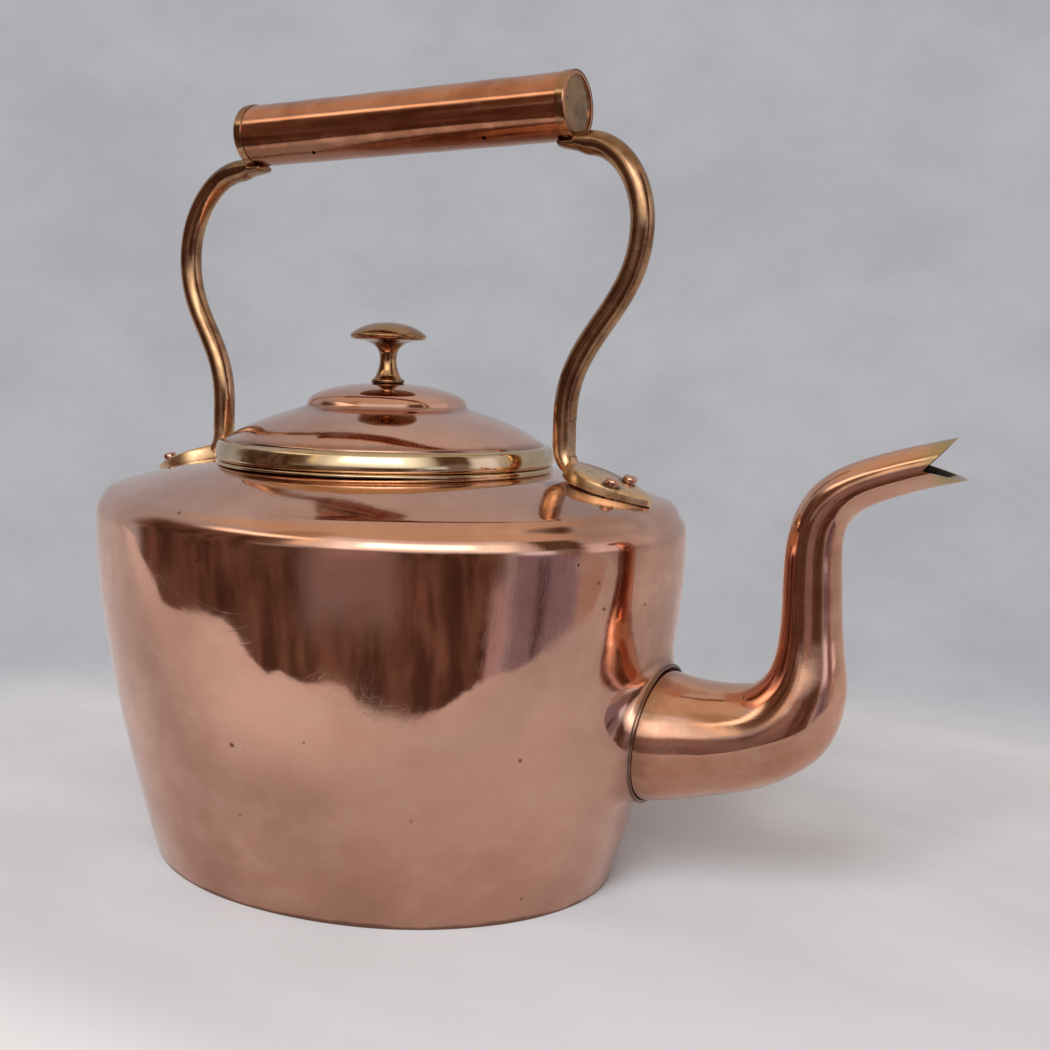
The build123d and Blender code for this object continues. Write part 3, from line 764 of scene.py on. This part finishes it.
# Painted shade on the shoulder along the near edge of the front leaf.
painted_shade_before_leaf = [
    ((0.0780, -0.0135, 0.1436), 0.0030, 0.0080, 0.5),
    ((0.0852, -0.0153, 0.1420), 0.0030, 0.0085, 0.5),
    ((0.0915, -0.0149, 0.1405), 0.0030, 0.0085, 0.5),
    ((0.0973, -0.0125, 0.1385), 0.0030, 0.0080, 0.5),
    ((0.1020, -0.0080, 0.1365), 0.0030, 0.0075, 0.5),
]
dark_spots = [
    ((-0.0005, -0.0838, 0.0587), 0.0006, 0.0013, 0.9),
    ((-0.0215, -0.0846, 0.1314), 0.0005, 0.0012, 0.8),
    ((0.0847, -0.0491, 0.0593), 0.0003, 0.0008, 0.7),
    ((0.0412, -0.0783, 0.0270), 0.0004, 0.0010, 0.6),
    ((0.1034, -0.0355, 0.1150), 0.0004, 0.0010, 0.7),
    ((-0.0106, -0.0875, 0.0986), 0.0003, 0.0008, 0.6),
]
dull_patches = [
    ((0.1077, -0.0180, 0.0898), 0.003, 0.020, 0.30),
    ((0.0203, -0.0759, 0.0200), 0.006, 0.036, 0.20),
    ((-0.0700, -0.0500, 0.0400), 0.006, 0.040, 0.22),
    ((-0.0376, -0.0814, 0.0842), 0.010, 0.050, 0.16),
    ((0.0988, -0.0267, 0.1334), 0.006, 0.026, 0.26),
]
body_copper = metal(
    "body_copper", copper_dark, copper_main, copper_pink, shine=(0.035, 0.11), cloud=11.0,
    rubbed="across", uneven=0.00020, pitted=0.35,
    stain_and_shade_spots=round_rivets + painted_shade_before_leaf + dark_spots + dull_patches,
    stain_and_shade_bands=seam_marks + shadow_line_and_browner_foot)
tin = metal(
    "tinned_inside", (0.30, 0.28, 0.26, 1), (0.50, 0.48, 0.45, 1), (0.62, 0.60, 0.57, 1),
    shine=(0.32, 0.20), cloud=22.0, uneven=0.00008, stain_and_shade_colour=(0.12, 0.09, 0.07, 1))
kettle_body = finished(
    "kettle_body", body, "kettle", "body_copper", body_copper, "body_shell",
    crisp=180, away_from=(0, 0, 0.07))
kettle_body.data.materials.append(tin)
smoothed(kettle_body, 2)
thickened(kettle_body, body_sheet)

# %% [markdown]
# ## Spout
# The swan neck is hammered from a tapered tube: a wide root, a tight lower bend, a long
# slim upright part and a nozzle whose end is cut open in a V, like a beak. Rings are set
# along its middle line, joined and smoothed, and the V is cut last so that it stays crisp.

# %% Forge the spout
spout_line = (
    (108.8, 59.9, 22.2), (110.6, 60.0, 22.45), (112.4, 60.15, 22.2), (119.9, 60.7, 20.5),
    (128.9, 61.8, 18.8), (139.5, 63.7, 17.5), (148.0, 67.0, 16.4), (155.1, 71.8, 16.0),
    (159.1, 80.5, 13.8), (160.3, 87.0, 12.1), (160.5, 95.0, 10.4), (160.2, 106.3, 9.35),
    (159.8, 115.0, 9.15), (159.5, 122.2, 9.1), (159.6, 128.8, 8.65), (160.7, 134.4, 8.4),
    (162.9, 139.4, 7.9), (167.0, 144.1, 7.7), (173.0, 148.0, 7.3), (185.0, 152.2, 6.9),
    (193.0, 154.6, 6.7), (198.8, 156.2, 6.6), (203.0, 157.4, 6.5), (208.0, 158.9, 6.4),
)
spout_sheet = 0.8
neck = bmesh.new()
loops = []
middle_line = [(along_x, level) for along_x, level, radius in spout_line]
for number, (point, direction) in enumerate(with_directions(middle_line)):
    if number < 3:
        direction = (1, -seam_tilt + 0.06 * number)
    radius = spout_line[number][2]
    loops.append(ring_in(neck, across_path(point, direction), radius, radius, 24)[1])
skin_over(neck, loops)
bmesh.ops.recalc_face_normals(neck, faces=neck.faces)
neck = rounded(neck, 2)
for vert in neck.verts:
    hammered = noise.noise(vert.co * 58) * 0.28 + noise.noise(vert.co * 120) * 0.08
    fade = min(1.0, max(0.0, (vert.co.x / mm - 113) / 8)) * min(1.0, (212 - vert.co.x / mm) / 24)
    vert.co += vert.normal * hammered * fade * mm
neck = rounded(neck, 0, spout_sheet)
print("rings along the spout", len(spout_line))

# %% Shape the tool that cuts the beak
# A cube that starts at the corner of the V is cut down to a wedge, then rolled a little.
beak = Vector((192.0, 0, 153.9)) * mm
upper_slope, lower_slope, roll = radians(47), radians(-14), radians(5)
cube = 50 * mm
wedge = bmesh.new()
before_beak = beak + Vector((cube / 2 - 0.1 * mm, 0, 0))
bmesh.ops.create_cube(wedge, size=cube, matrix=Matrix.Translation(before_beak))
for slope, clearing in ((upper_slope, "clear_outer"), (lower_slope, "clear_inner")):
    bmesh.ops.bisect_plane(
        wedge, geom=wedge.verts[:] + wedge.edges[:] + wedge.faces[:], plane_co=beak,
        plane_no=(-sin(slope), 0, cos(slope)), **{clearing: True})
    bmesh.ops.holes_fill(wedge, edges=[e for e in wedge.edges if e.is_boundary], sides=0)
spout_rise = 0.28
bmesh.ops.rotate(
    wedge, verts=wedge.verts, cent=beak,
    matrix=Matrix.Rotation(roll, 3, Vector((cos(spout_rise), 0, sin(spout_rise)))))
bmesh.ops.recalc_face_normals(wedge, faces=wedge.faces)
print("wedge", len(wedge.faces), "faces")

# %% Finish the spout and cut its beak
spout_copper = metal(
    "spout_copper", (0.58, 0.27, 0.165, 1), (0.80, 0.44, 0.305, 1), (0.89, 0.60, 0.47, 1),
    shine=(0.04, 0.11), cloud=24.0, rubbed="upward", uneven=0.00028, pitted=0.5,
    stain_and_shade_bands=seam_marks, bare=((-1, 0, 0), -0.2045, -0.188, (0.80, 0.62, 0.32, 1)),
    stain_and_shade_spots=[((0.1595, 0.0, 0.118), 0.004, 0.030, 0.22), ((0.2035, 0, 0.157), 0.002, 0.016, 0.45)],
    stain_and_shade_colour=(0.20, 0.115, 0.06, 1))
spout = finished(
    "swan_neck", neck, "kettle", "spout_copper", spout_copper, "spout", crisp=40)
spout.data.materials.append(tin)
cut(spout, wedge)

# %% [markdown]
# ## Mouth ring and lid
# A brass ring is soldered into the mouth. The lid is spun: a shallow dome with a step and
# a raised boss, a brass bead around its edge and a collar that drops into the mouth. Each
# is a line in section, spun about the upright axis.

# %% Spin the mouth ring
ring_line = [
    (54.95, 136.0), (55.95, 136.0), (55.95, 144.0), (58.0, 144.0), (60.4, 143.6),
    (60.65, 143.7), (60.75, 144.1), (60.6, 144.55), (60.1, 144.9), (59.4, 145.0),
    (55.3, 145.0), (54.95, 144.7), (54.95, 136.0),
]
rim_brass = metal(
    "rim_brass", (0.50, 0.34, 0.18, 1), (0.76, 0.59, 0.39, 1), (0.84, 0.71, 0.54, 1),
    shine=(0.035, 0.08), cloud=26.0, rubbed="around", uneven=0.00007)
finished(
    "brass_mouth_ring", turned(ring_line, 128), "kettle", "rim_brass", rim_brass, "mouth_ring",
    crisp=50)

# %% Spin the dome
lid_sheet = 1.1
outer_dome = drawn(
    (2.6, 172.8), (6.2, 172.8),
    ((13.0, 172.7), (20.0, 171.4), (25.0, 169.3), 8),
    ((27.0, 168.4), (28.2, 167.4), (28.7, 165.6), 6),
    ((28.9, 164.9), (29.2, 164.4), (30.2, 164.05), 4),
    ((38.5, 161.6), (49.0, 158.4), (56.4, 152.9), 16),
    (56.9, 152.4), (57.0, 151.5), (57.0, 148.0), (57.0, 145.1),
)
dome = turned(outer_dome, 128)
for vert in dome.verts:
    push = noise.noise(vert.co * 34 + Vector((5, 5, 5))) * 0.10
    edge = min(1.0, max(0.0, (55 - math.hypot(vert.co.x, vert.co.y) / mm) / 6))
    vert.co.z += push * edge * mm
lid_copper = metal(
    "lid_copper", (0.64, 0.34, 0.24, 1), (0.81, 0.475, 0.36, 1), (0.88, 0.58, 0.47, 1),
    shine=(0.035, 0.10), cloud=17.0, rubbed="around", uneven=0.00016, pitted=0.35,
    stain_and_shade_bands=[(upwards, 0.1522, 0.0004, 0.0020, 0.45), (upwards, 0.1642, 0.0003, 0.0016, 0.35)],
    stain_and_shade_spots=[((0.030, 0.020, 0.160), 0.004, 0.024, 0.25), ((0, 0, 0.173), 0.005, 0.011, 0.45)])
lid_dome = finished(
    "lid_copper_dome", dome, "lid", "lid_copper", lid_copper, "lid_dome", crisp=60,
    away_from=(0, 0, 0.12))
lid_dome.data.materials.append(tin)
thickened(lid_dome, lid_sheet)

# %% Spin the bead
bead_line = drawn(
    (57.05, 145.05), (57.05, 151.55), (57.2, 151.85), (57.5, 151.95),
    ((59.0, 152.0), (59.9, 151.65), (60.3, 150.6), 8),
    ((60.72, 149.4), (61.0, 148.0), (61.1, 146.7), 8),
    ((61.1, 145.6), (60.75, 145.15), (60.1, 145.1), 6),
    (59.4, 145.05), (57.05, 145.05),
)
finished(
    "lid_brass_bead", turned(bead_line, 128), "lid", "rim_brass", rim_brass, "lid_rim", crisp=50)

# %% [markdown]
# ## Knob
# Cast brass, turned smooth: a small bead at the foot, a waisted stem and a mushroom cap.
# Its tail goes through the lid and is hammered over a washer on the inside.

# %% Turn the knob
knob_line = drawn(
    (0, 168.9), (2.4, 168.95), (3.7, 169.6), (4.0, 170.55), (2.5, 170.6),   # peened tail
    (2.5, 172.85), (5.5, 172.85),
    ((6.25, 173.2), (6.15, 174.4), (5.35, 174.6), 6),                       # bead
    (5.1, 174.65),
    ((4.95, 174.95), (4.75, 175.1), (4.55, 175.3), 3),
    ((3.6, 177.2), (3.0, 179.4), (3.0, 181.6), 8),                          # stem
    ((3.0, 184.8), (4.5, 187.0), (8.0, 187.85), 10),
    ((9.8, 188.25), (11.2, 188.3), (12.4, 188.5), 4),                       # under the cap
    ((13.7, 188.8), (14.1, 190.0), (13.3, 190.65), 7),
    ((10.8, 192.9), (6.4, 194.8), (0, 194.85), 10),                         # cap
)
# The band round the stem's top, under the cap, is tarnish and painted shade; the band at the foot
# is tarnish.
knob_brass = metal(
    "knob_brass", (0.24, 0.115, 0.055, 1), (0.52, 0.295, 0.15, 1), (0.74, 0.49, 0.28, 1),
    shine=(0.05, 0.12), cloud=60.0, rubbed="around", uneven=0.00006, pitted=0.6,
    stain_and_shade_bands=[(upwards, 0.1728, 0.0004, 0.0016, 0.8), (upwards, 0.1868, 0.0006, 0.0030, 0.6)],
    stain_and_shade_colour=(0.10, 0.055, 0.03, 1))
finished(
    "brass_knob", turned(knob_line, 72), "lid", "knob_brass", knob_brass, "lid_knob", crisp=40)

# %% [markdown]
# ## Handle arms
# Each arm is one brass forging: a round rod bent to an S, flattened into a leaf-shaped foot
# below and thinned to a tongue under the grip. The rod is a row of rings along its path.
# The leaf is an outline, extruded and bevelled, because a file leaves it with hard edges.


# %% Helpers for the leaf of a foot
leaf_length, root_thick, tip_thick = 33.3, 5.45, 2.75


def foot_place(side, foot, level):
    """The underside of a foot: X down the slope, Z up from the shoulder."""
    slope = radians(15)
    down = Vector((side * cos(slope), 0, -sin(slope)))
    off = Vector((side * sin(slope), 0, cos(slope)))
    axes = Matrix((down, off.cross(down), off)).transposed().to_4x4()
    return Matrix.Translation(Vector((side * foot, 0, level)) * mm) @ axes


def leaf_plate(shape, place):
    """The leaf, thick at its root and thin at its tip, with a filed bevel all round its top."""
    half = drawn(
        (1.2, 3.4), ((3.4, 6.4), (7.2, 11.1), (13.5, 11.2), 9),
        ((20.5, 11.4), (28.0, 7.6), (32.4, 2.3), 9),
        ((33.0, 1.5), (leaf_length, 0.8), (leaf_length, 0.0), 3))
    outline = half + [(x, -y) for x, y in reversed(half[:-1])]
    points = [shape.verts.new((x * mm, y * mm, 0)) for x, y in outline]
    bottom = shape.faces.new(points)
    grown = bmesh.ops.extrude_face_region(shape, geom=[bottom], use_keep_orig=True)["geom"]
    top = [g for g in grown if isinstance(g, bmesh.types.BMVert)]
    for vert in top:
        along = vert.co.x / (leaf_length * mm)
        vert.co.z = (root_thick + (tip_thick - root_thick) * along) * mm
    edge = [e for e in shape.edges if e.verts[0] in top and e.verts[1] in top]
    bmesh.ops.bevel(
        shape, geom=edge, offset=1.5 * mm, offset_type="OFFSET", segments=3, profile=0.5,
        affect="EDGES", material=-1)
    crown = max(shape.faces, key=lambda f: (f.normal.z > 0.5) * f.calc_area())
    for narrower, raised_by in ((1.0, 0.50), (1.3, 0.35), (1.6, 0.15)):
        bmesh.ops.inset_region(
            shape, faces=[crown], thickness=narrower * mm, use_even_offset=True)
        bmesh.ops.translate(shape, vec=(0, 0, raised_by * mm), verts=crown.verts)
    bmesh.ops.transform(shape, matrix=place, verts=shape.verts)


# %% Helpers for the rod of an arm
rod_radius = 4.1
flat_depth, flat_from, flat_to = 1.25, 6.2, 17.6


def ring_halves(number):
    """Half width and half thickness of the rod's rings, which start flat inside the leaf."""
    if number < 2:
        return ((3.4, 0.9), (4.4, 1.5))[number]
    share = min(1.0, (number - 2) / 9)
    share = share * share * (3 - 2 * share)
    return 4.9 + (rod_radius - 4.9) * share, 1.75 + (rod_radius - 1.75) * share


def forge_arm(foot_at, waist, bow, top, tongue_end, pulls):
    """One arm. Places are (distance from the axis, height); pulls shape the two bends."""
    side, foot, level = foot_at
    base = foot_place(*foot_at)
    inner = [base @ (Vector((run, 0, 1.9)) * mm) / mm for run in (13.0, 7.5, 3.4)]
    leaf_in, leaf_near, heel_pull = [(p.x, p.z) for p in inner]
    narrow_x, narrow_z = side * waist[0], waist[1]
    wide_x, wide_z = side * bow[0], bow[1]
    grip_end = tongue_end + side * 6.5
    path = drawn(
        leaf_in, (leaf_in, leaf_near, leaf_near, 3),
        (heel_pull, (side * (foot - 0.4), level + 4.0), (side * foot, level + 10.5), 8),
        ((side * foot, level + 13), (narrow_x, narrow_z - 4), (narrow_x, narrow_z), 4),
        ((narrow_x, narrow_z + pulls[0]), (wide_x, wide_z - pulls[1]), (wide_x, wide_z), 18),
        ((wide_x, wide_z + (top - wide_z) * 0.5523),
         (grip_end + side * (5 + (wide_x - grip_end) * side * 0.42), top),
         (grip_end + side * 4, top), 14),
    )
    rod = bmesh.new()
    loops = []
    for number, (point, direction) in enumerate(with_directions(path)):
        loops.append(ring_in(rod, across_path(point, direction), *ring_halves(number), 24)[1])
    # The tongue: its rings run on under the grip and thin out towards its end.
    under_grip = top + 1.1
    tongue = (
        (grip_end + side * 0.5, under_grip - 0.45, 4.2, 3.25),
        (grip_end + side * 0.1, under_grip - 0.6, 4.3, 3.1),
        (grip_end - side * 0.15, under_grip - 1.45, 4.3, 2.1),
        (tongue_end + side * 3.0, under_grip - 1.15, 4.3, 1.75),
        (tongue_end + side * 0.8, under_grip - 0.95, 4.0, 1.45),
        (tongue_end + side * 0.1, under_grip - 0.85, 2.9, 1.0),
    )
    for x, z, half_across, half_thick in tongue:
        place = across_path((x, z), (-side, 0))
        loops.append(ring_in(rod, place, half_across, half_thick, 24)[1])
    skin_over(rod, loops)
    bmesh.ops.holes_fill(rod, edges=[e for e in rod.edges if e.is_boundary], sides=0)
    bmesh.ops.recalc_face_normals(rod, faces=rod.faces)
    rod = rounded(rod, 2)
    # Last, a flat is filed on the outer side of the rod, just above the foot.
    flat = foot + rod_radius - flat_depth
    for vert in rod.verts:
        filed = level + flat_from < vert.co.z / mm < level + flat_to
        if filed and vert.co.x * side / mm > flat:
            vert.co.x = side * flat * mm
    plate = bmesh.new()
    leaf_plate(plate, base)
    bmesh.ops.recalc_face_normals(plate, faces=plate.faces)
    join(rod, plate)
    return rod


# %% Forge both arms
# For each foot: its side, how far the rod's heel is from the axis, and how high the leaf's
# underside lies there.
feet = {"front": (1, 72.2, 144.45), "rear": (-1, 76.8, 142.1)}
arm_brass = metal(
    "arm_brass", (0.20, 0.095, 0.05, 1), (0.50, 0.285, 0.155, 1), (0.72, 0.50, 0.30, 1),
    shine=(0.09, 0.20), cloud=62.0, rubbed="upward", pitted=0.9, uneven=0.00020,
    stain_and_shade_spots=[(place, 0.0028, 0.0044, 0.9) for place in (
        (0.0935, -0.0070, 0.1436), (0.0935, 0.0070, 0.1436),
        (-0.0982, -0.0070, 0.1416), (-0.0982, 0.0070, 0.1416))],
    bare=(upwards, 0.149, 0.163, (0.85, 0.57, 0.32, 1)),
    stain_and_shade_bands=[(upwards, 0.2525, 0.001, 0.008, 0.45)], stain_and_shade_colour=(0.12, 0.065, 0.035, 1))
for end, forging in (
    ("front", forge_arm(feet["front"], (72.1, 164.0), (98.0, 227.0), 253.65, 67.1, (28, 28))),
    ("rear", forge_arm(feet["rear"], (76.6, 164.0), (93.5, 218.0), 251.05, -55.9, (24, 24))),
):
    finished(end + "_arm", forging, "kettle", "arm_brass", arm_brass, "handle_arm_" + end,
             crisp=28)

# %% [markdown]
# ## Rivets
# Two copper rivets hold each foot. Outside is a head with a flat top and a sloping edge;
# inside the kettle the tail is hammered over a washer, which coppersmiths call a burr. Both
# are turned upright and then set in the slope of the leaf, so that they follow the shoulder.

# %% Set the rivets
rivet_copper = metal(
    "rivet_copper", (0.50, 0.25, 0.17, 1), (0.74, 0.42, 0.31, 1), (0.84, 0.54, 0.43, 1),
    shine=(0.12, 0.16), cloud=160.0, rubbed="across", uneven=0.00003, pitted=0.5)
rivet_line = [(0, -4.25), (2.0, -4.2), (2.75, -3.7), (2.8, -3.05), (2.0, -3.05)]
rivet_line += [(2.0, 4.0), (2.45, 4.1), (2.5, 4.7), (2.4, 5.3), (2.15, 5.75), (1.8, 6.0)]
rivet_line += [(0.9, 6.1), (0, 6.12)]
burr_line = [(2.05, -2.0), (4.25, -2.0), (4.4, -2.15), (4.4, -2.85), (4.25, -3.0)]
burr_line += [(2.05, -3.0), (2.05, -2.0)]
rivet_run, rivet_across = 21.0, 7.0


def set_pair(line, foot_at):
    """Two turned pieces, side by side in a leaf."""
    pair = bmesh.new()
    for across in (-rivet_across, rivet_across):
        along_leaf = Matrix.Translation(Vector((rivet_run, across, 0)) * mm)
        join(pair, turned(line, 32, foot_place(*foot_at) @ along_leaf))
    return pair


for end, foot_at in feet.items():
    finished(end + "_rivets", set_pair(rivet_line, foot_at), "kettle", "rivet_copper",
             rivet_copper, "foot_rivets_" + end, crisp=40)
    finished(end + "_burrs", set_pair(burr_line, foot_at), "kettle", "rivet_copper",
             rivet_copper, "rivet_burrs_" + end, crisp=40)

# %% [markdown]
# ## Grip
# A rolled copper tube with two small vent holes below, a thin brass band over each end and
# a brass disc let into each end. It lies almost level, the spout end a touch higher.

# %% Roll the grip
tilt = radians(1.1)
along_grip = Vector((cos(tilt), 0, sin(tilt)))
axes = Matrix((Vector((0, 1, 0)), along_grip.cross(Vector((0, 1, 0))), along_grip))
grip_place = Matrix.Translation(Vector((5.6, 0, 264.5)) * mm) @ axes.transposed().to_4x4()
half_grip, tube_bore, tube_radius = 68.0, 9.85, 11.05
tube_end = [(tube_bore, half_grip), (10.8, half_grip), (11.0, half_grip - 0.15)]
tube_end += [(tube_radius, half_grip - 0.5)]
tube_line = [(radius, -level) for radius, level in tube_end]
for step in range(17):
    level = (half_grip - 4.0) * (step / 8 - 1)
    tube_line.append((tube_radius + 0.06 * sin(step * 2.1), level))
tube_line += reversed(tube_end)
tube_line.append(tube_line[0])
# The grip is darker along its underside: partly tarnish, partly painted shade.
grip_copper = metal(
    "grip_copper", (0.44, 0.165, 0.085, 1), (0.70, 0.325, 0.19, 1), (0.84, 0.49, 0.345, 1),
    shine=(0.06, 0.13), cloud=30.0, rubbed="along", uneven=0.00012, pitted=0.6,
    stain_and_shade_bands=[(upwards, 0.2535, 0.0015, 0.009, 0.6)], stain_and_shade_colour=(0.20, 0.085, 0.05, 1))
grip_brass = metal(
    "grip_brass", (0.24, 0.12, 0.06, 1), (0.52, 0.30, 0.165, 1), (0.74, 0.50, 0.31, 1),
    shine=(0.12, 0.18), cloud=70.0, rubbed="across", uneven=0.00005, pitted=0.9)
disc_brass = metal(
    "disc_brass", (0.18, 0.09, 0.04, 1), (0.42, 0.24, 0.115, 1), (0.60, 0.39, 0.21, 1),
    shine=(0.20, 0.24), cloud=85.0, rubbed="across", uneven=0.00009, pitted=1.0,
    stain_and_shade_colour=(0.07, 0.045, 0.03, 1))
grip = finished(
    "grip_copper_tube", turned(tube_line, 96, grip_place), "kettle", "grip_copper", grip_copper,
    "grip_tube", crisp=40)

# %% Drill the grip's vents
vent, vent_turn = 0.8 * mm, radians(55)
drill = bmesh.new()
into_wall = Matrix.Translation((-11 * mm, 0, 0)) @ Matrix.Rotation(radians(90), 4, "Y")
for offset in (-35.0, 36.0):
    place = grip_place @ Matrix.Translation((0, 0, offset * mm))
    bmesh.ops.create_cone(
        drill, cap_ends=True, cap_tris=False, segments=16, radius1=vent, radius2=vent,
        depth=6 * mm, matrix=place @ Matrix.Rotation(vent_turn, 4, "Z") @ into_wall)
cut(grip, drill)

# %% Close the grip's ends
# Each line is (radius, distance in from the end of the grip).
band_line = (
    (11.1, 0), (11.35, 0), (11.45, 0.12), (11.47, 0.5), (11.47, 2.7), (11.44, 3.08),
    (11.3, 3.2), (11.1, 3.2), (11.1, 0),
)
disc_line = (
    (0, 0.38), (5.0, 0.42), (8.9, 0.5), (9.2, 0.56), (9.35, 0.72), (9.5, 0.6), (9.8, 0.54),
    (9.8, 1.7), (0, 1.7),
)
for end, side in (("front", 1), ("rear", -1)):
    band = [(radius, side * (half_grip - inwards)) for radius, inwards in band_line]
    finished("band_" + end, turned(band, 96, grip_place), "kettle", "grip_brass",
             grip_brass, "grip_band_" + end, crisp=40)
    disc = [(radius, side * (half_grip - inwards)) for radius, inwards in disc_line]
    finished("disc_" + end, turned(disc, 96, grip_place), "kettle", "grip_brass",
             disc_brass, "grip_disc_" + end, crisp=40)

# %% [markdown]
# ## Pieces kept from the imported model
# The bottom plate, the lid's collar and the knob's washer are plain pieces whose packed
# shape is right. They only need their metal.

# %% Give the kept pieces their finish
base_copper = metal(
    "base_copper", (0.36, 0.17, 0.11, 1), (0.62, 0.33, 0.23, 1), (0.74, 0.44, 0.33, 1),
    shine=(0.22, 0.22), cloud=24.0, rubbed="around", uneven=0.00010, pitted=0.9)
for name, material in (
    ("base_plate", base_copper), ("lid_flange", rim_brass), ("knob_washer", rim_brass),
):
    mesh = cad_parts[name].data
    mesh.materials.clear()
    mesh.materials.append(material)
print("materials", len(bpy.data.materials))
